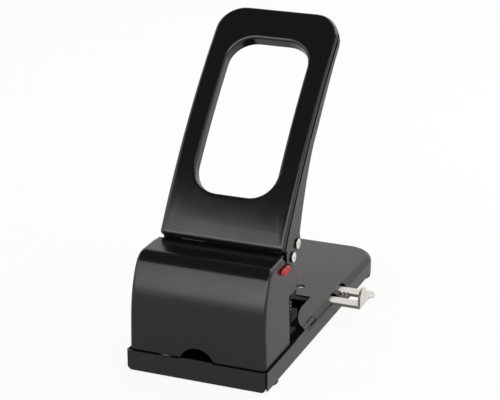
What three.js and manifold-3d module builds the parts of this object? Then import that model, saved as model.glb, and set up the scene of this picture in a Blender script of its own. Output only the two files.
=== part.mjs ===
// Heavy duty two hole punch, built as an assembly of separate pieces.
// Millimetres and +Z up. +Y runs from the chip tray to the free end of the paper table.
// In the working frame Y is 0 at the face of the chip tray, X is 0 in the middle, Z is 0 on the desk.

import * as THREE from "three";
import { mergeVertices } from "three/addons/utils/BufferGeometryUtils.js";
import Module from "manifold-3d";

const wasm = await Module();
wasm.setup();

// Fits shared by all pieces
const gap = 0.3;
const overrun = 2;
const weldDistance = 0.0001;

// Paper table, base plate and feet
const baseBeyondHandle = 7.6;
const baseLength = 313.5;
const tableHeight = 21.2;
const tableSheet = 1.2;
const tableEdgeRadius = 6;
const tableCornerRadius = 29;
const skirtLift = 3.2;
const rimDrop = 0.5;
const tableNearEnd = 101.4;
const armTipWidth = 3.5;
const notchWidth = 91;
const notchFarEnd = 171;
const notchCurveEnd = 144;
const notchBendWidth = 102;
const notchBendY = 111;
const footHeight = 4.7;
const footRadius = 9;
const footPadRadius = 13;
const footPadHeight = 2.7;
const footInset = 13.1;
const footFromTray = 26;
const footFromEnd = 28;
const basePlateThickness = 2;

// Lanced tab in the bend of the table
const lanceNearY = 113.5;
const lanceLength = 16;
const lanceWidth = 5.3;
const lanceSlit = 0.8;
const lanceFromSide = 0.9;

// Housing cover
const coverInset = 2;
const coverWall = 1.5;
const coverFrontY = 2.5;
const coverTop = 109.1;
const coverLeanStart = 47.7;
const coverLeanRadius = 165;
const coverBrowRadius = 20;
const coverDraft = 2;
const coverEdgeRadius = 4;
const coverRoofBack = 23;
const coverPanelBack = 19;
const coverWingBack = 1;
const coverWingBottom = 68.7;
const coverWingDrop = 6;
const coverSeamBack = 29;
const coverSeamRise = 3;
const thumbWidth = 32;
const thumbHeight = 11;

// Chip tray
const trayFaceThickness = 1.8;
const trayFaceDrop = 1.3;
const trayFaceRadius = 4;
const trayLipHeight = 0.9;
const trayWall = 1.5;
const trayDepth = 98;
const trayWallHeight = 6;

// Pivot, crank and swing of the lever
const pivotY = 81;
const pivotZ = 98.7;
const axleRadius = 4;
const axleHeadRadius = 4.7;
const axleHeadHeight = 1;
const axleHeadDome = 0.4;
const axleDimpleRadius = 0.8;
const washerRadius = 5.1;
const washerThickness = 0.7;
const crankReach = 14.3;
const crankAngle = THREE.MathUtils.degToRad(38.5);
const leverSwing = THREE.MathUtils.degToRad(60);

// Handle, drawn as an arc in the side view
const handleLength = 235;
const handleFootBack = 24.4;
const handleFootRise = 14.3;
const handleFootLean = THREE.MathUtils.degToRad(31.85);
const handleTipLean = THREE.MathUtils.degToRad(50);
const handleTipRadius = 26;
const handleFootRadius = 4;
const gripWidth = 80;
const gripLow = 44;
const gripHigh = 201;
const gripRadius = 25;
const skinThickness = 2;
const skinRound = 3.2;
const skinEdgeDepth = 4.4;
const skinRimDepth = 12;
const skinRimWall = 1.8;

// Lever frame behind the skin
const leverGroove = 2.2;
const leverRidge = 0.9;
const leverRidgeHeight = 1;
const leverGrooveHeight = 1.2;
const leverWeb = 2;
const leverFootDepth = 11.5;
const leverFlangeDepth = 18;
const leverTipDepth = 14;
const leverTaperStart = 127;
const leverTaperEnd = 197;
const leverRimWidth = 4;
const leverPlate = 2.7;
const leverEarLow = 11.5;
const leverSwellDepth = 35;
const leverSwellAt = 26;
const leverBendDepth = 19;
const leverBendAt = 75.2;
const leverSwellEnd = 109;
const leverLoadBoss = 9.5;
const leverPivotBoss = 8.5;
const leverHeelBack = 13.5;
const leverHeelRise = 7;
const leverTailReach = 18.8;
const leverTailTop = THREE.MathUtils.degToRad(200);
const leverTailBottom = THREE.MathUtils.degToRad(222);

// Punch head
const punchSpacing = 80;
const punchRadius = 3;
const holeFromEdge = 12;
const throatHeight = 10;
const tipLift = 0.3;
const tipNotchWidth = 3.2;
const tipNotchDepth = 1.6;
const punchHeadRadius = 4.8;
const punchHeadHeight = 3;
const capRadius = 6.5;
const capHeight = 2.2;
const capSlotWidth = 1.4;
const capSlotDepth = 1;
const dieHeight = 8;
const guideHeight = 8;
const blockBeyondPost = 7.5;
const blockReach = 7.7;
const blockTailLength = 16;
const stopDepth = 4;
const framePlate = 4;
const frameBeyondPunch = 12.7;
const earClear = 0.5;
const frameFrontY = 86;
const frameBackY = 58;
const frameShoulderZ = 64.7;
const framePivotBoss = 9;
const frameFootReach = 6;
const frameFootThickness = 2.5;
const tieRodRadius = 4;
const tieRodDrop = 18;
const tieRodBack = 14;
const crossheadHeight = 16;
const crossheadReach = 7;
const crossheadBack = 7.5;
const crossheadClear = 0.6;
const yokeInsidePunch = 16;
const yokeThickness = 6;
const yokeWall = 3;
const yokeClear = 0.6;

// Return springs and their posts
const postBeyondPunch = 9.5;
const postRadius = 2.2;
const postSocket = 5;
const postTopGap = 3;
const coilRadius = 3.6;
const wireDiameter = 1.4;
const springBoreRadius = 4.9;
const springBoreDepth = 12;
const coilTurns = 7;
const stepsPerTurn = 8;
const wireSides = 5;

// Paper guide
const guideTop = 18.9;
const guideThickness = 3;
const guideNearY = 171.5;
const guideArmWidth = 13.5;
const guideArmPitch = 26;
const guideReach = 95;
const guideLength = 110;
const guideBridge = 5;
const guideStopHeight = 15.3;
const guideStopWidth = 19.2;
const guideStopThickness = 2.4;
const guideStopRadius = 9.4;
const guideArmReach = 98.5;
const guideTipRadius = 6.5;
const toothPitch = 4.1;
const toothDepth = 2.2;
const toothGap = 2.2;
const toothShoulder = 0.5;
const plainStretch = 18.5;
const toothCount = 22;
const slotHead = 3;

// Bracket, pawl and screws under the table
const bracketThickness = 1.7;
const bracketLeft = -45;
const bracketFromSkirt = 6.3;
const bracketLeg = 6;
const bossRadius = 4.6;
const tableScrewX = 28;
const tableScrewHead = 3.5;
const tableScrewRecess = 4.2;
const tableScrewHeadHeight = 1.6;
const tableCupDepth = 3.4;
const pawlX = 46;
const pawlWidth = 6;
const pawlThickness = 1.4;

// Handle lock
const lockTravel = 5;
const lockBack = 20.5;
const lockLow = 1.8;
const lockHigh = 1.9;
const lockPlateThickness = 1.4;
const lockPlateLength = 24;
const lockPlateMargin = 2.2;
const lockNeckLength = 9;
const lockNeckHeight = 4;
const lockNeckBack = 36;
const knobLength = 16;
const knobHeight = 5.4;
const knobDepth = 3.4;
const knobWaist = 1.2;
const knobStandOff = 0.3;

// Screws
const screwHeadRadius = 3;
const screwHeadHeight = 1.8;
const screwRadius = 1.8;
const screwLength = 7;
const screwSlotWidth = 0.9;
const screwSlotDepth = 0.7;
const frameScrewInset = 5;

// Facets
const axleSides = 24;
const boreSides = 24;
const smallSides = 16;
const cornerSteps = 6;
const edgeSteps = 3;
const longSteps = 14;
const shortSteps = 4;

// Worked out places, from the punches outwards
const punchX = punchSpacing / 2;
const postX = punchX + postBeyondPunch;
const frameInner = punchX + frameBeyondPunch;
const frameOuter = frameInner + framePlate;
const earInner = frameOuter + earClear;
const earOuter = earInner + leverPlate;
const halfHandle = earOuter;
const halfBase = halfHandle + baseBeyondHandle;
const baseWidth = 2 * halfBase;
const skirtInner = halfBase - tableSheet;
const basePlateTop = footHeight + basePlateThickness;
const floorSeat = basePlateTop + gap;
const coverHalf = halfBase - coverInset;
const coverInner = coverHalf - coverWall;
const loadY = pivotY + crankReach * Math.cos(crankAngle);
const loadZ = pivotZ + crankReach * Math.sin(crankAngle);
const stroke = crankReach * (Math.sin(crankAngle) + Math.sin(leverSwing - crankAngle));
const punchY = pivotY + crankReach;
const throatTop = tableHeight + throatHeight;
const guideBlockTop = throatTop + guideHeight;
const dieBottom = tableHeight - dieHeight;
const stopY = punchY - holeFromEdge;
const crossheadBottom = guideBlockTop + stroke + crossheadClear;
const crossheadTop = crossheadBottom + crossheadHeight;
const crossheadHalf = earInner - gap - crossheadClear;
const yokeInner = punchX - yokeInsidePunch;
const yokeOuter = yokeInner + yokeThickness;
const washerInner = earOuter + gap;
const washerOuter = washerInner + washerThickness;
const axleReach = washerOuter + gap + axleHeadHeight;
const guideBottom = guideTop - guideThickness;
const guideFarNear = guideNearY + guideArmPitch;
const guideFarEnd = guideFarNear + guideArmWidth;
const guideMidY = guideNearY + (guideArmWidth + guideArmPitch) / 2;
const handleArcRadius = handleLength / (handleTipLean - handleFootLean);
const handleFootY = pivotY - handleFootBack;
const handleFootZ = pivotZ + handleFootRise;
const rimHeight = tableHeight - rimDrop;
const cupFloor = tableHeight - tableCupDepth;

// Colours of the finishes
const paint = { color: 0x1d1d1e, roughness: 0.5, metalness: 0.2 };
const grayPaint = { color: 0x4a4846, roughness: 0.45, metalness: 0.3 };
const blackPlastic = { color: 0x141414, roughness: 0.35, metalness: 0 };
const palePlastic = { color: 0xd8d7d1, roughness: 0.5, metalness: 0 };
const redPlastic = { color: 0xc0102a, roughness: 0.35, metalness: 0 };
const rubber = { color: 0x161616, roughness: 0.9, metalness: 0 };
const steel = { color: 0xb9b8b4, roughness: 0.3, metalness: 1 };
const darkSteel = { color: 0x2b2b2c, roughness: 0.4, metalness: 1 };

// Turns a three.js geometry into a solid that can be cut and joined
function solid(geometry) {
  geometry.deleteAttribute("normal");
  geometry.deleteAttribute("uv");
  const merged = mergeVertices(geometry, weldDistance);
  const mesh = new wasm.Mesh({
    numProp: 3,
    vertProperties: new Float32Array(merged.attributes.position.array),
    triVerts: new Uint32Array(merged.index.array),
  });
  return new wasm.Manifold(mesh);
}

// Turns a finished solid back into a three.js geometry
function geometryOf(body) {
  const mesh = body.getMesh();
  const geometry = new THREE.BufferGeometry();
  geometry.setAttribute("position", new THREE.BufferAttribute(new Float32Array(mesh.vertProperties), 3));
  geometry.setIndex(new THREE.BufferAttribute(new Uint32Array(mesh.triVerts), 1));
  geometry.computeVertexNormals();
  return geometry;
}

function block(x0, x1, y0, y1, z0, z1) {
  const box = new THREE.BoxGeometry(x1 - x0, y1 - y0, z1 - z0);
  return solid(box.translate((x0 + x1) / 2, (y0 + y1) / 2, (z0 + z1) / 2));
}

function rodX(y, z, radius, x0, x1, sides) {
  const rod = new THREE.CylinderGeometry(radius, radius, x1 - x0, sides);
  return solid(rod.rotateZ(Math.PI / 2).translate((x0 + x1) / 2, y, z));
}

function rodZ(x, y, radius, z0, z1, sides) {
  const rod = new THREE.CylinderGeometry(radius, radius, z1 - z0, sides);
  return solid(rod.rotateX(Math.PI / 2).translate(x, y, (z0 + z1) / 2));
}

function polygon(points) {
  return new THREE.Shape(points.map(([a, b]) => new THREE.Vector2(a, b)));
}

function extrusion(shape, depth) {
  return new THREE.ExtrudeGeometry(shape, { depth, bevelEnabled: false, curveSegments: cornerSteps });
}

// Turns an extrusion so that the outline is the side view in Y and Z and the depth runs along X
const sideways = new THREE.Matrix4().makeBasis(
  new THREE.Vector3(0, 1, 0), new THREE.Vector3(0, 0, 1), new THREE.Vector3(1, 0, 0));

// A side view outline in Y and Z, pushed along X
function alongX(shape, x0, x1) {
  return solid(extrusion(shape, x1 - x0).applyMatrix4(sideways).translate(x0, 0, 0));
}

// A side view outline pushed to both sides of the middle, with rounded rims
function roundedAlongX(shape, half, radius) {
  const geometry = new THREE.ExtrudeGeometry(shape, {
    depth: 2 * (half - radius), bevelThickness: radius, bevelSize: radius, bevelOffset: -radius,
    bevelSegments: edgeSteps, curveSegments: cornerSteps,
  });
  return geometry.applyMatrix4(sideways).translate(radius - half, 0, 0);
}

// A front view outline in X and Z, pushed along Y
function alongY(shape, y0, y1) {
  const basis = new THREE.Matrix4().makeBasis(
    new THREE.Vector3(1, 0, 0), new THREE.Vector3(0, 0, 1), new THREE.Vector3(0, -1, 0));
  return solid(extrusion(shape, y1 - y0).applyMatrix4(basis).translate(0, y1, 0));
}

// A plan outline in X and Y, pushed along Z
function alongZ(shape, z0, z1) {
  return solid(extrusion(shape, z1 - z0).translate(0, 0, z0));
}

// A rectangle with one radius at its low corners and another at its high corners
function roundedRectangle(a0, a1, b0, b1, lowRadius, highRadius) {
  const shape = new THREE.Shape();
  const quarter = Math.PI / 2;
  shape.moveTo(a0 + lowRadius, b0);
  shape.lineTo(a1 - lowRadius, b0);
  if (lowRadius > 0) shape.absarc(a1 - lowRadius, b0 + lowRadius, lowRadius, -quarter, 0);
  shape.lineTo(a1, b1 - highRadius);
  if (highRadius > 0) shape.absarc(a1 - highRadius, b1 - highRadius, highRadius, 0, quarter);
  shape.lineTo(a0 + highRadius, b1);
  if (highRadius > 0) shape.absarc(a0 + highRadius, b1 - highRadius, highRadius, quarter, 2 * quarter);
  shape.lineTo(a0, b0 + lowRadius);
  if (lowRadius > 0) shape.absarc(a0 + lowRadius, b0 + lowRadius, lowRadius, 2 * quarter, 3 * quarter);
  return shape;
}

// A slab whose top edge is rolled over with a radius
function rolledSlab(plan, z0, z1, radius) {
  const height = z1 - z0 - radius + overrun;
  const geometry = new THREE.ExtrudeGeometry(plan, {
    depth: height, bevelThickness: radius, bevelSize: radius, bevelOffset: -radius,
    bevelSegments: cornerSteps, curveSegments: cornerSteps,
  });
  const body = solid(geometry.translate(0, 0, z0 - overrun));
  const reach = baseLength + baseWidth;
  return body.intersect(block(-reach, reach, -reach, reach, z0, z1 + overrun));
}

function both(make) {
  return [["left", -1], ["right", 1]].map(([side, sign]) => make(side, sign));
}

const model = new THREE.Group();
const assembly = new THREE.Group();
model.add(assembly);

function place(name, shape, finish, position = [0, 0, 0]) {
  const geometry = shape.isBufferGeometry ? shape : geometryOf(shape);
  const mesh = new THREE.Mesh(geometry, new THREE.MeshStandardMaterial(finish));
  mesh.name = name;
  mesh.position.set(...position);
  assembly.add(mesh);
  return mesh;
}

// Plan of the table and its base plate, drawn in from the outside by an inset
function basePlan(inset, y0) {
  const far = tableCornerRadius - inset;
  return roundedRectangle(-halfBase + inset, halfBase - inset, y0, baseLength - inset, 0, far);
}

// The opening between the two arms of the table, curving in to the notch
function tableOpening() {
  const mouth = skirtInner - armTipWidth + tableSheet;
  const shape = new THREE.Shape();
  shape.moveTo(-mouth, 0);
  shape.lineTo(mouth, 0);
  shape.lineTo(mouth, tableNearEnd);
  shape.quadraticCurveTo(notchBendWidth / 2, notchBendY, notchWidth / 2, notchCurveEnd);
  shape.lineTo(notchWidth / 2, notchFarEnd);
  shape.lineTo(-notchWidth / 2, notchFarEnd);
  shape.lineTo(-notchWidth / 2, notchCurveEnd);
  shape.quadraticCurveTo(-notchBendWidth / 2, notchBendY, -mouth, tableNearEnd);
  return shape;
}

function guideSlots(sign) {
  const inner = sign > 0 ? halfBase - tableEdgeRadius : -halfBase - overrun;
  return [guideNearY, guideFarNear].map((y) => block(
    inner, inner + tableEdgeRadius + overrun, y - gap, y + guideArmWidth + slotHead,
    guideBottom - gap, tableHeight + overrun));
}

// A slit in the bend that leaves a small tongue of sheet
function lancedTab(sign) {
  const outer = sign * (halfBase - lanceFromSide);
  const inner = outer - sign * lanceWidth;
  const [x0, x1] = [Math.min(inner, outer), Math.max(inner, outer)];
  const slit = block(x0, x1, lanceNearY, lanceNearY + lanceLength, tableHeight - tableEdgeRadius,
    tableHeight + overrun);
  return slit.subtract(block(x0 + lanceSlit, x1 - lanceSlit, lanceNearY - overrun,
    lanceNearY + lanceLength - lanceSlit, 0, tableHeight + overrun));
}

// A cup pressed into the table, with a hole in its floor for a screw
function screwCup(shell, x) {
  const high = tableHeight + overrun;
  const cup = rodZ(x, guideMidY, tableScrewRecess + tableSheet, cupFloor - tableSheet, tableHeight - gap,
    axleSides);
  const body = shell.add(cup).subtract(rodZ(x, guideMidY, tableScrewRecess, cupFloor, high, axleSides));
  return body.subtract(rodZ(x, guideMidY, screwRadius + gap, 0, high, smallSides));
}

// Stamped table with rolled edges, open between its arms, and the plain side walls in front of it
function tableShell() {
  const outer = rolledSlab(basePlan(0, 0), skirtLift, tableHeight, tableEdgeRadius);
  const inner = rolledSlab(basePlan(tableSheet, -overrun), skirtLift - overrun, tableHeight - tableSheet,
    tableEdgeRadius - tableSheet);
  let shell = outer.subtract(inner);
  shell = shell.intersect(block(-halfBase, halfBase, tableNearEnd, baseLength, 0, tableHeight));
  shell = shell.subtract(alongZ(tableOpening(), tableHeight - tableEdgeRadius, tableHeight + overrun));
  for (const sign of [-1, 1]) {
    const [x0, x1] = sign > 0 ? [skirtInner, halfBase] : [-halfBase, -skirtInner];
    shell = shell.add(block(x0, x1, trayFaceThickness + gap, tableNearEnd + tableSheet,
      skirtLift, rimHeight));
    shell = shell.subtract(lancedTab(sign));
    shell = screwCup(shell, sign * tableScrewX);
  }
  for (const slot of guideSlots(1)) shell = shell.subtract(slot);
  return shell;
}

function basePlate() {
  let plate = alongZ(basePlan(tableSheet + gap, trayFaceThickness + gap), footHeight, basePlateTop);
  for (const [x, y] of frameScrewPlaces()) {
    plate = plate.subtract(rodZ(x, y, screwRadius + gap, 0, basePlateTop + overrun, smallSides));
  }
  return plate;
}

// Rubber foot with a wide pad under the edge of the skirt and a narrower stem up to the plate
function foot() {
  const chamfer = footPadHeight / 4;
  const top = footHeight - gap;
  return new THREE.LatheGeometry([
    new THREE.Vector2(0, 0), new THREE.Vector2(footPadRadius - chamfer, 0),
    new THREE.Vector2(footPadRadius, chamfer), new THREE.Vector2(footPadRadius, footPadHeight),
    new THREE.Vector2(footRadius, footPadHeight), new THREE.Vector2(footRadius, top),
    new THREE.Vector2(0, top),
  ], axleSides).rotateX(Math.PI / 2);
}

// Side view outline of the cover, drawn in by an inset: upright, leaning back, over the brow, flat.
// It runs on past the back and below the foot, where the body is trimmed
function coverSide(inset) {
  const back = pivotY + coverEdgeRadius + overrun;
  const low = -coverEdgeRadius - overrun;
  const leanY = coverFrontY + coverLeanRadius;
  const browZ = coverTop - coverBrowRadius;
  const between = coverLeanRadius - coverBrowRadius;
  const lean = Math.asin((browZ - coverLeanStart) / between);
  const browY = leanY - between * Math.cos(lean);
  const shape = new THREE.Shape();
  shape.moveTo(coverFrontY + inset, low);
  shape.lineTo(back, low);
  shape.lineTo(back, coverTop - inset);
  shape.lineTo(browY, coverTop - inset);
  shape.absarc(browY, browZ, coverBrowRadius - inset, Math.PI / 2, Math.PI - lean);
  shape.absarc(leanY, coverLeanStart, coverLeanRadius - inset, Math.PI - lean, Math.PI);
  return shape;
}

// How far the sides of the cover have drawn in at a height
function coverDrawIn(z) {
  return coverDraft * (z - floorSeat) / (coverTop - floorSeat);
}

// The closed form of the cover, whose sides come closer together towards the top
function coverBody(inset, radius) {
  const body = roundedAlongX(coverSide(inset), coverHalf - inset, radius);
  const places = body.attributes.position;
  for (let i = 0; i < places.count; i += 1) {
    places.setX(i, places.getX(i) - Math.sign(places.getX(i)) * coverDrawIn(places.getZ(i)));
  }
  return solid(body);
}

// What is cut from the sides at the back: behind the seam and over the slanted top of the wing
function coverBackCut() {
  const far = pivotY + overrun;
  const wingTop = pivotZ - coverWingDrop;
  const seam = pivotY - coverSeamBack;
  return polygon([
    [seam, coverTop + overrun], [seam, pivotZ + coverSeamRise], [pivotY - coverWingBack, wingTop],
    [far, wingTop], [far, coverTop + overrun],
  ]);
}

function housingCover() {
  const wide = coverHalf + overrun;
  const deep = coverInner - coverDraft - overrun;
  const back = pivotY - coverWingBack;
  const roof = pivotY - coverRoofBack;
  const panel = pivotY - coverPanelBack;
  const high = coverTop + overrun;
  const ceiling = coverTop - coverEdgeRadius - coverWall;
  const front = coverFrontY + coverWall + overrun;
  let shell = coverBody(0, coverEdgeRadius).subtract(coverBody(coverWall, coverEdgeRadius - coverWall));
  shell = shell.intersect(block(-wide, wide, 0, back, floorSeat, high));
  shell = shell.subtract(alongX(coverBackCut(), deep, wide)).subtract(alongX(coverBackCut(), -wide, -deep));
  shell = shell.subtract(block(-deep, deep, roof, back + overrun, ceiling, high));
  shell = shell.subtract(block(-wide, wide, panel, back + overrun, 0, coverWingBottom));
  shell = shell.subtract(block(-wide, wide, 0, front, 0, tableHeight + gap));
  return shell.subtract(thumbNotch()).subtract(lockSlot());
}

function thumbNotch() {
  const half = thumbWidth / 2;
  const radius = (half * half + thumbHeight * thumbHeight) / (2 * thumbHeight);
  const shape = new THREE.Shape();
  shape.absarc(0, tableHeight + thumbHeight - radius, radius, 0, 2 * Math.PI);
  return alongY(shape, 0, coverFrontY + coverWall + overrun);
}

function lockSlot() {
  const y0 = pivotY - lockNeckBack - gap;
  const mid = pivotZ + (lockHigh - lockLow) / 2;
  const half = lockNeckHeight / 2 + gap;
  return block(coverInner - coverDraft - overrun, coverHalf + overrun, y0,
    y0 + lockNeckLength + lockTravel + 2 * gap, mid - half, mid + half);
}

// Chip tray with a face as wide as the base and a lip for the thumb
function chipTray() {
  const half = skirtInner - gap;
  const low = skirtLift - trayFaceDrop;
  const face = roundedRectangle(-half, half, low, rimHeight, trayFaceRadius, gap);
  let tray = alongY(face, 0, trayFaceThickness);
  tray = tray.add(alongY(roundedRectangle(-thumbWidth / 2, thumbWidth / 2, rimHeight - overrun,
    rimHeight + trayLipHeight, 0, trayLipHeight / 2), 0, trayFaceThickness));
  const side = frameInner - 2 * gap;
  const box = block(-side, side, trayFaceThickness / 2, trayDepth, floorSeat, floorSeat + trayWallHeight);
  const pocket = block(-side + trayWall, side - trayWall, trayFaceThickness, trayDepth - trayWall,
    floorSeat + trayWall, floorSeat + trayWallHeight + overrun);
  return tray.add(box).subtract(pocket);
}

function frameScrewPlaces() {
  const x = frameOuter + frameFootReach / 2;
  const ys = [frameBackY + frameScrewInset, frameFrontY - frameScrewInset];
  return [-1, 1].flatMap((sign) => ys.map((y) => [sign * x, y]));
}

// Steel plate that carries the blocks, the pivot and the foot
function sideFrame(sign) {
  const outline = polygon([
    [frameBackY, floorSeat], [frameFrontY, floorSeat], [frameFrontY, tableHeight], [stopY, tableHeight],
    [stopY, throatTop], [frameFrontY, throatTop], [frameFrontY, pivotZ - axleRadius],
    [pivotY - framePivotBoss, pivotZ], [frameBackY + gap, frameShoulderZ],
  ]);
  const [x0, x1] = sign > 0 ? [frameInner, frameOuter] : [-frameOuter, -frameInner];
  let plate = alongX(outline, x0, x1).add(rodX(pivotY, pivotZ, framePivotBoss, x0, x1, axleSides));
  plate = plate.subtract(rodX(pivotY, pivotZ, axleRadius + gap, x0 - overrun, x1 + overrun, boreSides));
  const foot0 = sign > 0 ? frameOuter - gap : -frameOuter - frameFootReach;
  plate = plate.add(block(foot0, foot0 + frameFootReach + gap, frameBackY, frameFrontY, floorSeat,
    floorSeat + frameFootThickness));
  for (const [x, y] of frameScrewPlaces()) {
    plate = plate.subtract(rodZ(x, y, screwRadius + gap, 0, floorSeat + frameFootThickness + overrun,
      smallSides));
  }
  for (const [y, z] of blockScrewPlaces()) {
    plate = plate.subtract(rodX(y, z, screwRadius + gap, x0 - overrun, x1 + overrun, smallSides));
  }
  return plate;
}

function blockScrewPlaces() {
  const y = stopY - screwHeadRadius - stopDepth;
  return [[y, dieBottom + dieHeight / 2], [y, throatTop + guideHeight / 2]];
}

// Plan of the die and guide blocks: a tail between the frames and a wide bar in front of them
function blockPlan(reach) {
  const tail = frameInner - gap;
  const half = postX + blockBeyondPost;
  const y0 = frameFrontY - blockTailLength;
  const y1 = frameFrontY + gap;
  return polygon([
    [-tail, y0], [tail, y0], [tail, y1], [half, y1], [half, reach], [-half, reach], [-half, y1], [-tail, y1],
  ]);
}

function headBlock(z0, z1, reach) {
  const bore = punchRadius + gap;
  let body = alongZ(blockPlan(reach), z0, z1);
  for (const sign of [-1, 1]) {
    body = body.subtract(rodZ(sign * punchX, punchY, bore, z0 - overrun, z1 + overrun, boreSides));
    for (const [y, z] of blockScrewPlaces()) {
      const inner = frameInner - screwLength + framePlate - gap;
      const [x0, x1] = sign > 0 ? [inner, frameOuter] : [-frameOuter, -inner];
      body = body.subtract(rodX(y, z, screwRadius + gap, x0, x1, smallSides));
    }
  }
  return body;
}

function guideBlock() {
  let body = headBlock(throatTop, guideBlockTop, punchY + blockReach);
  for (const sign of [-1, 1]) {
    body = body.subtract(rodZ(sign * postX, punchY, postRadius + gap, guideBlockTop - postSocket,
      guideBlockTop + overrun, smallSides));
  }
  return body;
}

function dieBlock() {
  return headBlock(dieBottom, tableHeight - gap, tableNearEnd - 2 * gap);
}

function paperStop() {
  const half = frameInner - gap;
  return block(-half, half, stopY - stopDepth, stopY, tableHeight, throatTop - gap);
}

// Riveted axle with a low domed head and a dimple at each end
function axle() {
  const inner = washerOuter + gap;
  const rise = axleReach - axleHeadDome;
  const points = [
    [-axleReach, 0], [-axleReach, axleHeadRadius / 2], [-rise, axleHeadRadius], [-inner, axleHeadRadius],
    [-inner, axleRadius], [inner, axleRadius], [inner, axleHeadRadius], [rise, axleHeadRadius],
    [axleReach, axleHeadRadius / 2], [axleReach, 0],
  ];
  const profile = points.map(([along, radius]) => new THREE.Vector2(radius, along));
  let body = solid(new THREE.LatheGeometry(profile, axleSides).rotateZ(-Math.PI / 2));
  for (const sign of [-1, 1]) {
    const end = sign * axleReach;
    const cut = axleHeadDome * sign;
    body = body.subtract(rodX(0, 0, axleDimpleRadius, Math.min(end - cut, end + cut),
      Math.max(end - cut, end + cut), smallSides));
  }
  return body;
}

// Black washer between an ear of the lever and the head of an axle
function washer(sign) {
  const [x0, x1] = sign > 0 ? [washerInner, washerOuter] : [-washerOuter, -washerInner];
  const hole = rodX(0, 0, axleRadius + gap, x0 - overrun, x1 + overrun, boreSides);
  return rodX(0, 0, washerRadius, x0, x1, axleSides).subtract(hole);
}

// A point of the handle: across, along its arc from the foot, and behind its front face
function handlePoint(x, along, depth) {
  const lean = handleFootLean + along / handleArcRadius;
  const y = handleFootY + handleArcRadius * (Math.cos(handleFootLean) - Math.cos(lean));
  const z = handleFootZ + handleArcRadius * (Math.sin(lean) - Math.sin(handleFootLean));
  return new THREE.Vector3(x, y + depth * Math.cos(lean), z - depth * Math.sin(lean));
}

// One closed loop round a rounded rectangle on the arc of the handle
function handleLoop(halfWidth, low, high, lowRadius, highRadius, depth) {
  const corners = [
    [halfWidth - lowRadius, low + lowRadius, lowRadius, -1, longSteps],
    [halfWidth - highRadius, high - highRadius, highRadius, 0, shortSteps],
    [highRadius - halfWidth, high - highRadius, highRadius, 1, longSteps],
    [lowRadius - halfWidth, low + lowRadius, lowRadius, 2, shortSteps],
  ];
  const flat = [];
  corners.forEach(([cx, cs, radius, turn, steps], k) => {
    for (let i = 0; i <= cornerSteps; i += 1) {
      const angle = (turn + i / cornerSteps) * Math.PI / 2;
      flat.push([cx + radius * Math.cos(angle), cs + radius * Math.sin(angle)]);
    }
    const [x0, s0] = flat[flat.length - 1];
    const [nx, ns, nr, nturn] = corners[(k + 1) % corners.length];
    const x1 = nx + nr * Math.cos(nturn * Math.PI / 2);
    const s1 = ns + nr * Math.sin(nturn * Math.PI / 2);
    for (let i = 1; i < steps; i += 1) {
      flat.push([x0 + (x1 - x0) * i / steps, s0 + (s1 - s0) * i / steps]);
    }
  });
  const deep = typeof depth === "function" ? depth : () => depth;
  return flat.map(([x, s]) => handlePoint(x, s, deep(s)));
}

function outlineLoop(inset, depth) {
  return handleLoop(halfHandle - inset, inset, handleLength - inset, handleFootRadius - inset / 2,
    handleTipRadius - inset, depth);
}

function gripLoop(outset, depth) {
  const radius = gripRadius + outset;
  return handleLoop(gripWidth / 2 + outset, gripLow - outset, gripHigh + outset, radius, radius, depth);
}

// The loop half way between the outline and the grip opening
function middleLoop(depth) {
  return handleLoop((halfHandle + gripWidth / 2) / 2, gripLow / 2, (handleLength + gripHigh) / 2,
    (handleFootRadius + gripRadius) / 2, (handleTipRadius + gripRadius) / 2, depth);
}

// Joins loops of equal count into a closed ring
function ring(loops) {
  const count = loops[0].length;
  const index = [];
  for (let j = 0; j < loops.length; j += 1) {
    const next = (j + 1) % loops.length;
    for (let k = 0; k < count; k += 1) {
      const [a, b] = [j * count + k, j * count + (k + 1) % count];
      const [c, d] = [next * count + k, next * count + (k + 1) % count];
      index.push(a, b, d, a, d, c);
    }
  }
  const geometry = new THREE.BufferGeometry().setFromPoints(loops.flat());
  geometry.setIndex(index);
  return solid(geometry);
}

// Black moulded skin: rounded outside, rounded into the grip opening, with a rim that lines it
function handleSkin() {
  const soft = skinRound * (1 - Math.SQRT1_2);
  return ring([
    outlineLoop(0, skinEdgeDepth), outlineLoop(0, skinRound), outlineLoop(soft, soft),
    outlineLoop(skinRound, 0), middleLoop(0), gripLoop(skinRound, 0), gripLoop(soft, soft),
    gripLoop(0, skinRound), gripLoop(0, skinRimDepth), gripLoop(skinRimWall, skinRimDepth),
    gripLoop(skinRimWall, skinThickness), middleLoop(skinThickness), outlineLoop(skinRimWall, skinThickness),
    outlineLoop(skinRimWall, skinEdgeDepth),
  ]);
}

// Depth of the flange along the handle: shallow at the foot, deepest above the ears, less at the tip
function flangeDepth(along) {
  const rise = THREE.MathUtils.clamp((along - leverSwellAt) / (leverSwellEnd - leverSwellAt), 0, 1);
  const fall = THREE.MathUtils.clamp((along - leverTaperStart) / (leverTaperEnd - leverTaperStart), 0, 1);
  const gained = rise * (leverFlangeDepth - leverFootDepth);
  return leverFootDepth + gained - fall * (leverFlangeDepth - leverTipDepth);
}

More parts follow.
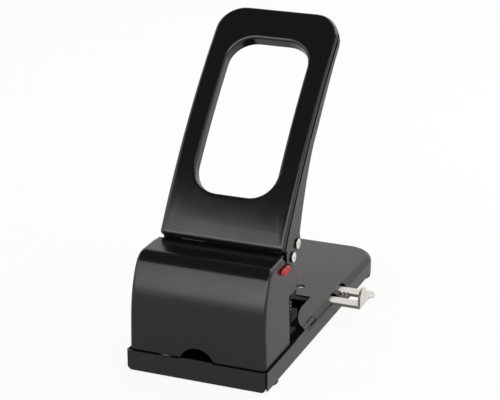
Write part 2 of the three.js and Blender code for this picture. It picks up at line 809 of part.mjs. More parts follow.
// Ear of the lever in the side view: swell under the flange, load boss, pivot boss, tail and heel
function leverEar() {
  const at = (along, depth) => {
    const point = handlePoint(0, along, depth);
    return [point.y, point.z];
  };
  const front = leverFootDepth - leverRimWidth;
  const reach = leverTailReach;
  const turn = (angle) => [pivotY + reach * Math.cos(angle), pivotZ + reach * Math.sin(angle)];
  const shape = new THREE.Shape();
  const heelY = pivotY - leverHeelBack;
  shape.moveTo(...at(leverSwellEnd, front));
  shape.lineTo(...at((leverSwellEnd + leverEarLow) / 2, front));
  shape.lineTo(...at(leverEarLow, front));
  shape.lineTo(heelY, pivotZ + leverHeelRise);
  shape.lineTo(heelY, pivotZ - leverHeelRise / 3);
  shape.lineTo(...turn(leverTailTop));
  shape.lineTo(...turn(leverTailBottom));
  shape.absarc(pivotY, pivotZ, leverPivotBoss, leverTailBottom, 2 * Math.PI - Math.PI / 4);
  shape.absarc(loadY, loadZ, leverLoadBoss, -Math.PI / 4, Math.PI / 12);
  shape.lineTo(...at(leverSwellAt, leverSwellDepth));
  shape.quadraticCurveTo(...at(leverBendAt, leverBendDepth), ...at(leverSwellEnd, leverFlangeDepth - gap));
  return shape;
}

// Gray lever frame: a rim with a groove and a ridge, a web behind the skin, and two ears
function leverFrame() {
  const front = skinEdgeDepth + gap;
  const ridgeLow = front + leverGrooveHeight;
  const ridgeHigh = ridgeLow + leverRidgeHeight;
  const flange = ridgeHigh + leverGrooveHeight;
  const hole = skinRimWall + gap;
  let frame = ring([
    middleLoop(front), gripLoop(hole, front), gripLoop(hole, front + leverWeb), middleLoop(front + leverWeb),
    outlineLoop(leverRimWidth, front + leverWeb), outlineLoop(leverRimWidth, flangeDepth),
    outlineLoop(0, flangeDepth), outlineLoop(0, flange), outlineLoop(leverGroove, flange),
    outlineLoop(leverGroove, ridgeHigh + gap), outlineLoop(leverRidge, ridgeHigh),
    outlineLoop(leverRidge, ridgeLow + gap), outlineLoop(leverGroove, ridgeLow),
    outlineLoop(leverGroove, front),
  ]);
  frame = frame.add(alongX(leverEar(), earInner, earOuter));
  frame = frame.add(alongX(leverEar(), -earOuter, -earInner));
  for (const [y, z] of [[pivotY, pivotZ], [loadY, loadZ]]) {
    frame = frame.subtract(rodX(y, z, axleRadius + gap, -axleReach, axleReach, boreSides));
  }
  return frame;
}

// Crosshead bar with two slotted yokes that the load axle drives
function crosshead() {
  let body = block(-crossheadHalf, crossheadHalf, punchY - crossheadBack, punchY + crossheadReach,
    crossheadBottom, crossheadTop);
  const slotRadius = axleRadius + yokeClear;
  const slot = new THREE.Shape();
  slot.absarc(loadY, loadZ, slotRadius, Math.PI / 2, 1.5 * Math.PI);
  slot.absarc(punchY, loadZ, slotRadius, -Math.PI / 2, Math.PI / 2);
  const low = pivotY + axleRadius + yokeClear;
  const high = punchY + slotRadius + yokeWall;
  const top = loadZ + slotRadius + yokeWall;
  const yoke = roundedRectangle(low, high, crossheadTop - overrun, top, 0, yokeWall);
  for (const sign of [-1, 1]) {
    const [x0, x1] = sign > 0 ? [yokeInner, yokeOuter] : [-yokeOuter, -yokeInner];
    body = body.add(alongX(yoke, x0, x1));
    body = body.subtract(alongX(slot, x0 - overrun, x1 + overrun));
    const [px, sx] = [sign * punchX, sign * postX];
    const low0 = crossheadBottom - overrun;
    const high0 = crossheadTop + overrun;
    body = body.subtract(rodZ(px, punchY, punchRadius + gap, low0, high0, boreSides));
    body = body.subtract(rodZ(px, punchY, punchHeadRadius + gap, crossheadTop - punchHeadHeight - gap, high0,
      boreSides));
    body = body.subtract(rodZ(sx, punchY, postRadius + gap, low0, high0, smallSides));
    body = body.subtract(rodZ(sx, punchY, springBoreRadius, low0, crossheadBottom + springBoreDepth,
      boreSides));
  }
  return body;
}

// Punch with a head at the top and two cutting lobes at its tip
function punchPin() {
  const tip = throatTop + tipLift;
  const top = crossheadTop - gap;
  let pin = rodZ(0, 0, punchRadius, tip, top, boreSides);
  pin = pin.add(rodZ(0, 0, punchHeadRadius, top - punchHeadHeight, top, boreSides));
  const half = tipNotchWidth / 2;
  const notch = polygon([[-half, tip - gap], [half, tip - gap], [0, tip + tipNotchDepth]]);
  return pin.subtract(alongX(notch, -punchRadius - overrun, punchRadius + overrun));
}

function slottedHead(radius, height, slotWidth, slotDepth) {
  const head = rodZ(0, 0, radius, 0, height, boreSides);
  const reach = radius + overrun;
  const half = slotWidth / 2;
  return head.subtract(block(-reach, reach, -half, half, height - slotDepth, height + overrun));
}

function screw() {
  const head = slottedHead(screwHeadRadius, screwHeadHeight, screwSlotWidth, screwSlotDepth);
  return head.add(rodZ(0, 0, screwRadius, -screwLength, screwHeadHeight / 2, smallSides));
}

function springPost() {
  const low = guideBlockTop - postSocket + gap;
  const high = crossheadTop + postTopGap;
  const chamfer = postRadius / 4;
  return new THREE.LatheGeometry([
    new THREE.Vector2(0, low), new THREE.Vector2(postRadius, low),
    new THREE.Vector2(postRadius, high - chamfer),
    new THREE.Vector2(postRadius - chamfer, high), new THREE.Vector2(0, high),
  ], smallSides).rotateX(Math.PI / 2);
}

// Points of the coil centre line, from the guide block up into the bore of the crosshead
function springPath() {
  const wire = wireDiameter / 2;
  const low = guideBlockTop + gap + wire;
  const high = crossheadBottom + springBoreDepth - gap - wire;
  const steps = coilTurns * stepsPerTurn;
  const points = [];
  for (let i = 0; i <= steps; i += 1) {
    const angle = i / stepsPerTurn * 2 * Math.PI;
    points.push(new THREE.Vector3(coilRadius * Math.cos(angle), coilRadius * Math.sin(angle),
      low + (high - low) * i / steps));
  }
  return points;
}

// One unbroken tube along the coil, with a flat cap at each end
function coilSpring() {
  const path = springPath();
  const wire = wireDiameter / 2;
  const vertices = [];
  const index = [];
  path.forEach((point, i) => {
    const angle = i / stepsPerTurn * 2 * Math.PI;
    const out = new THREE.Vector3(Math.cos(angle), Math.sin(angle), 0);
    const up = new THREE.Vector3(0, 0, 1);
    for (let k = 0; k < wireSides; k += 1) {
      const turn = k / wireSides * 2 * Math.PI;
      vertices.push(point.clone().addScaledVector(out, wire * Math.cos(turn))
        .addScaledVector(up, wire * Math.sin(turn)));
    }
  });
  for (let i = 0; i + 1 < path.length; i += 1) {
    for (let k = 0; k < wireSides; k += 1) {
      const [a, b] = [i * wireSides + k, i * wireSides + (k + 1) % wireSides];
      index.push(a, a + wireSides, b, b, a + wireSides, b + wireSides);
    }
  }
  const last = (path.length - 1) * wireSides;
  for (let k = 1; k + 1 < wireSides; k += 1) {
    index.push(0, k, k + 1);
    index.push(last, last + k + 1, last + k);
  }
  const geometry = new THREE.BufferGeometry().setFromPoints(vertices);
  geometry.setIndex(index);
  return solid(geometry);
}

// Least gap between neighbouring turns, measured on points of the centre line
function leastCoilGap() {
  const path = springPath();
  let least = Infinity;
  for (let i = 0; i < path.length; i += 1) {
    for (let j = i + stepsPerTurn - 1; j < path.length; j += 1) {
      least = Math.min(least, path[i].distanceTo(path[j]) - wireDiameter);
    }
  }
  return least;
}

// Fork of the paper guide in plan: two arms, a bridge and a rack on the far arm
function guideFork() {
  const left = guideReach - guideLength;
  const nearTop = guideNearY + guideArmWidth;
  const bridge = guideReach - guideBridge;
  const points = [
    [left, guideNearY], [guideReach - gap, guideNearY], [guideReach, guideNearY + gap],
    [guideReach, guideFarNear + guideTipRadius], [guideArmReach - guideTipRadius, guideFarEnd],
    [left, guideFarEnd], [left, guideFarNear],
  ];
  const rackEnd = guideReach - plainStretch;
  for (let k = toothCount; k >= 1; k -= 1) {
    const x = rackEnd - k * toothPitch;
    const y = guideFarNear + toothDepth;
    points.push([x, guideFarNear], [x + toothShoulder, y], [x + toothGap - toothShoulder, y],
      [x + toothGap, guideFarNear]);
  }
  points.push([bridge, guideFarNear], [bridge, nearTop], [left, nearTop]);
  return polygon(points);
}

function paperGuide() {
  const arm = roundedRectangle(guideReach - guideArmWidth, guideArmReach, guideFarNear, guideFarEnd,
    guideTipRadius, guideTipRadius);
  const body = alongZ(guideFork(), guideBottom, guideTop).add(alongZ(arm, guideBottom, guideTop));
  const y0 = guideNearY + gap;
  const stop = roundedRectangle(y0, y0 + guideStopWidth, guideBottom, guideTop + guideStopHeight, 0,
    guideStopRadius);
  return body.add(alongX(stop, guideReach - guideStopThickness, guideReach));
}

// Bracket under the guide, with legs on the base plate and a boss for each table screw
function guideBracket() {
  const top = guideBottom - gap;
  const low = top - bracketThickness;
  const y0 = guideNearY + gap;
  const y1 = guideFarEnd + bracketThickness + gap;
  const bracketRight = skirtInner - bracketFromSkirt;
  let body = block(bracketLeft, bracketRight, y0, y1, low, top);
  body = body.add(block(bracketLeft, bracketRight, y1 - bracketThickness, y1, low, guideTop));
  for (const x of [bracketLeft, bracketRight - bracketLeg]) {
    body = body.add(block(x, x + bracketLeg, y0, y1, floorSeat, low + gap));
  }
  for (const sign of [-1, 1]) {
    body = body.add(rodZ(sign * tableScrewX, guideMidY, bossRadius, low, cupFloor - tableSheet - gap,
      smallSides));
    body = body.subtract(rodZ(sign * tableScrewX, guideMidY, screwRadius + gap, low - overrun,
      tableHeight, smallSides));
  }
  return body;
}

function tableScrew() {
  const head = slottedHead(tableScrewHead, tableScrewHeadHeight, screwSlotWidth, screwSlotDepth);
  return head.add(rodZ(0, 0, screwRadius, -screwLength / 2, tableScrewHeadHeight / 2, smallSides));
}

// Leaf that rides on the rack: a standing strip with a rounded nose
function guidePawl() {
  const low = guideBottom;
  const nose = guideFarNear - gap;
  const base = guideMidY;
  const shape = new THREE.Shape();
  shape.moveTo(pawlX - pawlWidth, base - pawlThickness);
  shape.lineTo(pawlX, base - pawlThickness);
  shape.lineTo(pawlX + pawlWidth / 2, nose - pawlThickness);
  shape.absarc(pawlX + pawlWidth / 2 + pawlThickness / 2, nose - pawlThickness / 2, pawlThickness / 2,
    Math.PI, 0, true);
  shape.lineTo(pawlX + pawlWidth / 2 + pawlThickness, nose - pawlThickness);
  shape.lineTo(pawlX + pawlThickness, base - 2 * pawlThickness);
  shape.lineTo(pawlX - pawlWidth, base - 2 * pawlThickness);
  return alongZ(shape, low, guideTop);
}

// Steel slide behind the cover, with a tongue that blocks the tail of the lever
function lockSlide() {
  const tip = pivotY - lockBack;
  const low = pivotZ - lockLow;
  const high = pivotZ + lockHigh;
  const outer = coverInner - coverDrawIn(high + lockPlateMargin) - gap;
  const inner = outer - lockPlateThickness;
  const plate = block(inner, outer, tip - lockPlateLength, tip, low - lockPlateMargin,
    high + lockPlateMargin);
  return plate.add(block(earInner, inner + gap, tip - lockNeckLength, tip, low, high));
}

// Red knob with two lobes, and a neck through the slot of the cover
function lockKnob() {
  const mid = pivotZ + (lockHigh - lockLow) / 2;
  const neck0 = pivotY - lockNeckBack;
  const middle = neck0 + lockNeckLength / 2;
  const inside = coverInner - coverDrawIn(mid - knobHeight / 2);
  const face = inside + coverWall + knobStandOff;
  const half = knobLength / 2;
  const lobe = knobLength / 4;
  const plan = new THREE.Shape();
  plan.moveTo(face, middle - half);
  plan.quadraticCurveTo(face + 2 * knobDepth, middle - lobe, face + knobDepth - knobWaist, middle);
  plan.quadraticCurveTo(face + 2 * knobDepth, middle + lobe, face, middle + half);
  const knob = alongZ(plan, mid - knobHeight / 2, mid + knobHeight / 2);
  return knob.add(block(inside, face + gap, neck0, neck0 + lockNeckLength, mid - lockNeckHeight / 2,
    mid + lockNeckHeight / 2));
}

// Fixed base
place("table_shell", tableShell(), paint);
place("base_plate", basePlate(), paint);
const feet = [footFromTray, baseLength - footFromEnd].flatMap((y) => [-1, 1].map((sign) => [sign, y]));
feet.forEach(([sign, y], k) => {
  place(`rubber_foot_${k + 1}`, foot(), rubber, [sign * (halfBase - footInset), y, 0]);
});
place("housing_cover", housingCover(), paint);
place("chip_tray", chipTray(), paint);

// Punch head
both((side, sign) => place(`side_frame_${side}`, sideFrame(sign), darkSteel));
place("die_block", dieBlock(), darkSteel);
place("guide_block", guideBlock(), darkSteel);
place("paper_stop", paperStop(), steel);
place("tie_rod", rodX(0, 0, tieRodRadius, gap - frameInner, frameInner - gap, axleSides), steel,
  [0, pivotY - tieRodBack, pivotZ - tieRodDrop]);
place("pivot_axle", axle(), steel, [0, pivotY, pivotZ]);
place("load_axle", axle(), steel, [0, loadY, loadZ]);
both((side, sign) => {
  place(`pivot_washer_${side}`, washer(sign), darkSteel, [0, pivotY, pivotZ]);
  place(`load_washer_${side}`, washer(sign), darkSteel, [0, loadY, loadZ]);
});
place("crosshead", crosshead(), darkSteel);
both((side, sign) => {
  place(`punch_pin_${side}`, punchPin(), steel, [sign * punchX, punchY, 0]);
  place(`punch_cap_${side}`, slottedHead(capRadius, capHeight, capSlotWidth, capSlotDepth), steel,
    [sign * punchX, punchY, crossheadTop + gap]);
  place(`spring_post_${side}`, springPost(), steel, [sign * postX, punchY, 0]);
  place(`return_spring_${side}`, coilSpring(), steel, [sign * postX, punchY, 0]);
});
frameScrewPlaces().forEach(([x, y], k) => {
  place(`frame_screw_${k + 1}`, screw(), steel, [x, y, floorSeat + frameFootThickness + gap]);
});
both((side, sign) => blockScrewPlaces().forEach(([y, z], k) => {
  const mesh = place(`block_screw_${side}_${k + 1}`, screw(), steel, [sign * (frameOuter + gap), y, z]);
  mesh.rotation.y = sign * Math.PI / 2;
}));

// Lever
place("handle_skin", handleSkin(), blackPlastic);
place("lever_frame", leverFrame(), grayPaint);

// Paper guide and its bracket
place("paper_guide", paperGuide(), palePlastic);
place("guide_bracket", guideBracket(), paint);
place("guide_pawl", guidePawl(), steel);
both((side, sign) => place(`table_screw_${side}`, tableScrew(), steel,
  [sign * tableScrewX, guideMidY, cupFloor + gap]));

// Handle lock
place("lock_knob", lockKnob(), redPlastic);
place("lock_slide", lockSlide(), steel);

// The origin is under the middle of the box that the object fills
const boxLeft = -halfBase;
const boxRight = guideArmReach;
assembly.position.set(-(boxLeft + boxRight) / 2, -baseLength / 2, 0);
console.log(`least gap between coils ${leastCoilGap().toFixed(2)} mm`);

export default model;
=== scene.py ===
# %% [markdown]
# A desk hole punch, dressed around a frame of solids that is already the right size.
# The frame gives every piece its place, so nothing here is fitted by eye: a piece is measured,
# and its finer version is made in the same space. The lessons follow the order of the work:
# the frame, the camera, the light, the finishes, and then the pieces from the base upwards.

# %% The fixed frame
import math

import bmesh
import bpy
from mathutils import Matrix, Vector


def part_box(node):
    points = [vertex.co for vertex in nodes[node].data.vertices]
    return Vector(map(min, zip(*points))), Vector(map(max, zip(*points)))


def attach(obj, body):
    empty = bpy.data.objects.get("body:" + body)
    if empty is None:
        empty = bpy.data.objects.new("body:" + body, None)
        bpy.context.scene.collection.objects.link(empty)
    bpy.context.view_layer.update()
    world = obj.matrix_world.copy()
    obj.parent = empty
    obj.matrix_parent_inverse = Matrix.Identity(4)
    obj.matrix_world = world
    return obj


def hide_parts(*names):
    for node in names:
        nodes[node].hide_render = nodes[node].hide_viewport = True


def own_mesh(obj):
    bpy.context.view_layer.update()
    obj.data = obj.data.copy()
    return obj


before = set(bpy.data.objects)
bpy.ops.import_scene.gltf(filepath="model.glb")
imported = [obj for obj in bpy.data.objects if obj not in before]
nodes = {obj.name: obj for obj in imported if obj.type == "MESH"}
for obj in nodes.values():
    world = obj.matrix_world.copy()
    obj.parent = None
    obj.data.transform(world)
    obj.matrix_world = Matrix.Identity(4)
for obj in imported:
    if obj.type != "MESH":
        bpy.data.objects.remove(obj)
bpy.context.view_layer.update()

MM = 0.001
print("pieces in the frame:", len(nodes))

# %% [markdown]
# Places are easiest to think about from the front of the punch: x from the middle, y from the
# face of the chip tray, z from the desk. The frame has its own origin, so one helper turns a
# place in millimetres into a place in the frame, and another reads a node's box back.

# %% Places in millimetres
table_low, table_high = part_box("table_shell")
middle_x = (table_low.x + table_high.x) / 2
front_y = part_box("chip_tray")[0].y


def at(x, y, z):
    """A place in millimetres from the middle of the tray face on the desk, in the frame's metres."""
    return Vector((middle_x + x * MM, front_y + y * MM, z * MM))


def span(node):
    """The lowest and highest corner of a node, in the same millimetres as at()."""
    low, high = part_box(node)
    origin = at(0, 0, 0)
    return (low - origin) / MM, (high - origin) / MM


print("table is", round((table_high.x - table_low.x) / MM, 1), "mm wide")

# %% [markdown]
# The camera stands where the photographer stood. Its place was worked out beforehand from the
# straight edges of the base and the punch's height. A long lens keeps the edges nearly parallel,
# as in the photograph. The alternative, a guess by eye, always leaves the handle leaning wrongly.
# Blender makes an object and puts it into the scene in two steps, so a helper does both.

# %% The camera
PICTURE_WIDTH = 500
FOCAL_PIXELS = 1729.2
SENSOR_WIDTH = 36
camera_place = at(559.0, -1257.6, 685.9)
camera_target = at(0, 128.5, 128.3)


def put_in_scene(name, data):
    """A new object at the origin of the scene."""
    made = bpy.data.objects.new(name, data)
    bpy.context.scene.collection.objects.link(made)
    return made


camera_data = bpy.data.cameras.new("camera")
camera_data.sensor_width = SENSOR_WIDTH
camera_data.lens = FOCAL_PIXELS / PICTURE_WIDTH * SENSOR_WIDTH
camera_data.clip_end = 30
camera = put_in_scene("camera", camera_data)
camera.location = camera_place
camera.rotation_euler = (camera_target - camera_place).to_track_quat("-Z", "Y").to_euler()
bpy.context.scene.camera = camera
bpy.context.scene.view_settings.view_transform = "Standard"
print("lens", round(camera_data.lens, 1), "mm")

# %% [markdown]
# Two small helpers serve every material and every node tree. Colours are picked as screen hex
# values, but a renderer counts light, so they are made linear first. The other adds a node,
# sets it up and plugs it in, which keeps a tree readable from top to bottom.

# %% Helpers for node trees


def linear(hex_colour):
    """A screen colour such as 1a1a1c as linear red, green, blue and full alpha."""
    channels = [int(hex_colour[k:k + 2], 16) / 255 for k in (0, 2, 4)]
    curve = [c / 12.92 if c <= 0.04045 else ((c + 0.055) / 1.055) ** 2.4 for c in channels]
    return (*curve, 1.0)


def add(tree, kind, inputs=None, **settings):
    """Adds a node. inputs maps sockets to values, or to the output sockets of other nodes."""
    made = tree.nodes.new(kind)
    for name, value in settings.items():
        setattr(made, name, value)
    for socket, value in (inputs or {}).items():
        if isinstance(value, bpy.types.NodeSocket):
            tree.links.new(value, made.inputs[socket])
        else:
            made.inputs[socket].default_value = value
    return made


print("the grey 808080 sends back", round(linear("808080")[0], 3), "of the light")

# %% [markdown]
# Black coated steel has hardly any colour of its own, so what is seen on it is mostly what it
# mirrors. The photograph tells what stood in the studio: the front of the cover is bright only
# where it leans back, and the handle only near its foot, so a broad light panel stood behind the
# photographer from the floor up to about forty degrees, with darkness above it. The table mirrors
# a white sweep at the back. The sky makes both, because it is softer than any lamp. Strengths
# are shares of white paper. Each pair is where a change begins and ends, along one part of the
# direction that is looked in, which runs from -1 to 1.

# %% The sky of the studio
SWEEP = 0.95
CEILING = 0.08
CEILING_EDGE = (0.52, 0.64)
PANEL = 3.5
PANEL_SIDE = (-0.10, -0.45)
PANEL_LOW = (-0.06, 0.15)
PANEL_HIGH = (0.628, 0.662)
PANEL_FADE = (0.25, 0.60)
PANEL_TOP_SHARE = 0.8
PANEL_LEFT = (-0.46, -0.36)
PANEL_DIM = 0.5

world = bpy.data.worlds.new("studio")
bpy.context.scene.world = world
world.use_nodes = True
sky = world.node_tree
sky.nodes.clear()
direction = add(sky, "ShaderNodeTexCoord")
split = add(sky, "ShaderNodeSeparateXYZ", {0: direction.outputs["Generated"]})
front = add(sky, "ShaderNodeMapRange", {0: split.outputs["Y"], 1: PANEL_SIDE[0], 2: PANEL_SIDE[1]},
            interpolation_type="SMOOTHSTEP")
above = add(sky, "ShaderNodeMapRange", {
    0: split.outputs["Z"], 1: CEILING_EDGE[0], 2: CEILING_EDGE[1], 3: SWEEP, 4: CEILING},
    interpolation_type="SMOOTHSTEP")
rise = add(sky, "ShaderNodeMapRange", {0: split.outputs["Z"], 1: PANEL_LOW[0], 2: PANEL_LOW[1]},
           interpolation_type="SMOOTHSTEP")
fall = add(sky, "ShaderNodeMapRange", {
    0: split.outputs["Z"], 1: PANEL_HIGH[0], 2: PANEL_HIGH[1], 3: 1.0, 4: 0.0},
    interpolation_type="SMOOTHSTEP")
band = add(sky, "ShaderNodeMath", {0: rise.outputs[0], 1: fall.outputs[0]}, operation="MULTIPLY")
panel = add(sky, "ShaderNodeMath", {0: band.outputs[0], 1: front.outputs[0]}, operation="MULTIPLY")
fade = add(sky, "ShaderNodeMapRange", {
    0: split.outputs["Z"], 1: PANEL_FADE[0], 2: PANEL_FADE[1], 3: PANEL, 4: PANEL * PANEL_TOP_SHARE})
falloff = add(sky, "ShaderNodeMapRange", {
    0: split.outputs["X"], 1: PANEL_LEFT[0], 2: PANEL_LEFT[1], 3: PANEL_DIM},
    interpolation_type="SMOOTHSTEP")
bright = add(sky, "ShaderNodeMath", {0: fade.outputs[0], 1: falloff.outputs[0]}, operation="MULTIPLY")
level = add(sky, "ShaderNodeMix", {0: panel.outputs[0], 2: above.outputs[0], 3: bright.outputs[0]})
path = add(sky, "ShaderNodeLightPath")
lit = add(sky, "ShaderNodeBackground", {"Color": linear("fffefc"), "Strength": level.outputs[0]})
seen = add(sky, "ShaderNodeBackground", {"Color": linear("ffffff"), "Strength": 1.0})
mix = add(sky, "ShaderNodeMixShader", {
    0: path.outputs["Is Camera Ray"], 1: lit.outputs[0], 2: seen.outputs[0]})
add(sky, "ShaderNodeOutputWorld", {"Surface": mix.outputs[0]})
print("light panel", PANEL, "times as bright as white paper")

# %% [markdown]
# One soft box stands behind the punch on its right. It draws the light rim on the table and gives
# the shadow a side. A bare bulb would do it too, but it leaves hard little sparks on every edge,
# which the photograph doesn't have.

# %% The lamp
LAMP_WATTS = 7.0
LAMP_SIZE = 0.9
LAMP_PLACE = at(500, 900, 1100)
LAMP_AIM = at(0, 150, 60)
lamp_data = bpy.data.lights.new("soft_box", "AREA")
lamp_data.energy = LAMP_WATTS
lamp_data.size = LAMP_SIZE
lamp = put_in_scene("soft_box", lamp_data)
lamp.location = LAMP_PLACE
lamp.rotation_euler = (LAMP_AIM - LAMP_PLACE).to_track_quat("-Z", "Y").to_euler()
print("soft box", LAMP_SIZE, "m wide, aimed", round((LAMP_AIM - LAMP_PLACE).length, 2), "m away")

# %% [markdown]
# The floor is a big plain sheet. Seen directly it is lifted to nearly white, so the picture has
# the photograph's white ground, and a share of it still takes the shadow of the punch. What the
# steel mirrors of it is lifted less, because near the punch the real ground is in its shade.

# %% The floor
FLOOR_HALF = 6.0
FLOOR_DROP = 0.1
SEEN_LIFT = 0.9
MIRRORED_LIFT = 0.7
MIRRORED_LEVEL = 0.6


def floor_material():
    """Matt white paper that shows nearly white to the camera and in gloss."""
    material = bpy.data.materials.new("studio paper")
    material.use_nodes = True
    tree = material.node_tree
    tree.nodes.clear()
    paper = add(tree, "ShaderNodeBsdfDiffuse", {"Color": linear("fbfaf8")})
    rays = add(tree, "ShaderNodeLightPath")
    level = add(tree, "ShaderNodeMix", {0: rays.outputs["Is Glossy Ray"], 2: 1.0, 3: MIRRORED_LEVEL})
    glow = add(tree, "ShaderNodeEmission", {"Color": linear("ffffff"), "Strength": level.outputs[0]})
    seen_lift = add(tree, "ShaderNodeMath", {0: rays.outputs["Is Camera Ray"], 1: SEEN_LIFT},
                    operation="MULTIPLY")
    share = add(tree, "ShaderNodeMath", {
        0: rays.outputs["Is Glossy Ray"], 1: MIRRORED_LIFT, 2: seen_lift.outputs[0]},
        operation="MULTIPLY_ADD")
    lifted = add(tree, "ShaderNodeMixShader", {
        0: share.outputs[0], 1: paper.outputs[0], 2: glow.outputs[0]})
    add(tree, "ShaderNodeOutputMaterial", {"Surface": lifted.outputs[0]})
    return material


def floor():
    """One square far larger than the picture."""
    mesh = bpy.data.meshes.new("floor")
    corners = [(-1, -1), (1, -1), (1, 1), (-1, 1)]
    points = [(x * FLOOR_HALF, y * FLOOR_HALF, -FLOOR_DROP * MM) for x, y in corners]
    mesh.from_pydata(points, [], [(0, 1, 2, 3)])
    mesh.materials.append(floor_material())
    sheet = put_in_scene("floor", mesh)
    print("floor", 2 * FLOOR_HALF, "m wide")


floor()

# %% [markdown]
# Every finish is a Principled shader with a little unevenness of its own. The bump and the
# roughness come from noise whose grain is a real size: powder coat has an orange peel of about
# a millimetre, moulded plastic a spark grain of a third of that. The grain of plated and drawn
# steel is much finer on the real pieces and is drawn coarser here, or it wouldn't show at all.
# One function builds what the finishes share, so each of them is only its own numbers.

# %% What all finishes share
VARIATION_SIZE = 40
VARIATION_DETAIL = 3.0
VARIATION_RANGE = (0.3, 0.7)
TONES = (0.9, 1.12)
GRAIN_DETAIL = 2.0
GRAIN_ROUGHNESS = 0.55
GRAIN_FLATNESS = 10


def finish(name, colour, roughness, grain_mm, bump, uneven=0.06, **principled):
    """A Principled material with a fine grain in its relief and slow changes in its gloss."""
    material = bpy.data.materials.new(name)
    material.use_nodes = True
    tree = material.node_tree
    tree.nodes.clear()
    place = add(tree, "ShaderNodeTexCoord")
    grain = add(tree, "ShaderNodeTexNoise", {
        "Vector": place.outputs["Object"], "Scale": 1 / (grain_mm * MM), "Detail": GRAIN_DETAIL,
        "Roughness": GRAIN_ROUGHNESS})
    slow = add(tree, "ShaderNodeTexNoise", {
        "Vector": place.outputs["Object"], "Scale": 1 / (VARIATION_SIZE * MM), "Detail": VARIATION_DETAIL})
    gloss = add(tree, "ShaderNodeMapRange", {
        0: slow.outputs["Fac"], 1: VARIATION_RANGE[0], 2: VARIATION_RANGE[1], 3: roughness - uneven,
        4: roughness + uneven})
    relief = add(tree, "ShaderNodeBump", {
        "Height": grain.outputs["Fac"], "Strength": bump, "Distance": grain_mm * MM / GRAIN_FLATNESS})
    dark, light = [tuple(min(1, c * k) for c in linear(colour)[:3]) + (1.0,) for k in TONES]
    tone = add(tree, "ShaderNodeMix", {0: slow.outputs["Fac"], 6: dark, 7: light}, data_type="RGBA")
    shader = add(tree, "ShaderNodeBsdfPrincipled", {
        "Base Color": tone.outputs[2], "Roughness": gloss.outputs[0], "Normal": relief.outputs[0],
        **principled})
    add(tree, "ShaderNodeOutputMaterial", {"Surface": shader.outputs[0]})
    return material


print("gloss changes over", VARIATION_SIZE, "mm, tone by", round(TONES[1] - TONES[0], 2), "of itself")

# %% [markdown]
# The finishes themselves, the coated and moulded ones first. The numbers after each colour are its
# roughness, the size of its grain in millimetres and the depth of its relief. Black paint could be
# one material for the whole punch, but the photograph shows the cover, the lever and the skin
# taking the same light in three ways, so each has its own.

# %% The coated and moulded finishes
COAT_GLOSS = 0.45

# Paint baked on as dust, slightly pebbled: wide soft bands of light, and a black that never shines.
powder_coat = finish("black powder coat on steel", "0f0e0e", 0.21, 0.9, 0.25, uneven=0.03,
                     **{"Specular IOR Level": COAT_GLOSS})

# Enamel sprayed and stoved, a little flatter: the lever looks grey where it faces the light.
lever_coat = finish("black stoved enamel on steel", "0f0e0d", 0.25, 0.8, 0.2, uneven=0.04,
                    **{"Specular IOR Level": COAT_GLOSS})

# ABS from a spark eroded mould, the smoothest black: its rolled edges carry thin clear highlights.
skin_plastic = finish("black moulded ABS", "0d0d0c", 0.15, 0.35, 0.06, uneven=0.02, IOR=1.54)

# ABS again, coloured through: a strong red with one small soft glint, the only colour on the punch.
red_plastic = finish("red moulded ABS", "b00420", 0.34, 0.35, 0.05, uneven=0.03, IOR=1.45)

# Moulded rubber, matt: a dark foot without any highlight, lost in its own shadow.
rubber = finish("black rubber", "121212", 0.85, 0.5, 0.3)
print("paint mirrors", round(2 * COAT_GLOSS, 2), "times what its IOR alone would give")

# %% [markdown]
# The bare and plated metals come next. Plating is not quite a mirror: a metallic share below 1
# leaves some plain colour in it, so a head stays pale even where it mirrors something dark. The
# blackened steels could be metallic too, but oil and dust take their gleam away, so they are dark
# and matt with a low specular level. Their second copy is darker and duller still, as painted shade.

# %% The metal finishes
# Nickel plate, tumbled: the rivet heads are warm white discs that stand out on the black.
nickel = finish("nickel plated steel", "f0ede4", 0.32, 0.25, 0.06, Metallic=0.75)

# Drawn steel with a film of oil: springs and screws glint, but stay greyer than the plated pieces.
dull_steel = finish("oiled spring steel", "9a9790", 0.38, 0.3, 0.1, Metallic=1.0)

# Bright zinc on cold rolled sheet: the paper guide is an even pale grey, without clear reflections.
zinc = finish("bright zinc plated steel", "efede6", 0.36, 0.4, 0.08, Metallic=0.85)

# The cut edge of that sheet, torn by the punch press: a mid grey line that draws the rack's teeth, darker
# than bare steel because it also carries painted shade.
sheared_and_shaded = finish("sheared steel edge", "77756f", 0.45, 0.3, 0.3, Metallic=0.6)

# Chemically blackened and oiled: the inner blocks keep their shape in the dark with a faint sheen.
blackened = finish("blackened steel", "0c0c0b", 0.6, 0.3, 0.15, **{"Specular IOR Level": 0.2})

# The same made darker and duller as painted shade: the side plates and the floor plate behind them lie in
# shade and show hardly at all.
blackened_in_shade = finish("blackened steel out of the light", "0a0a09", 0.75, 0.3, 0.15,
               **{"Specular IOR Level": 0.06})
steels = (nickel, dull_steel, zinc, sheared_and_shaded, blackened, blackened_in_shade)
print("finishes of steel:", ", ".join(steel.name for steel in steels))

# %% [markdown]
# The solids of the frame come as loose triangles with knife sharp edges. Real sheet metal has a
# small radius wherever it was cut or bent, and that radius is what catches the light. A stack of
# modifiers does it without touching the mesh: weld the triangles, take the flat ones together,
# round the edges, and weight the normals so that flat faces stay flat.

# %% Shading by the sharpness of an edge
EDGE_ANGLE = math.radians(32)
FLAT_ANGLE = math.radians(0.4)
WELD_GAP = 0.002


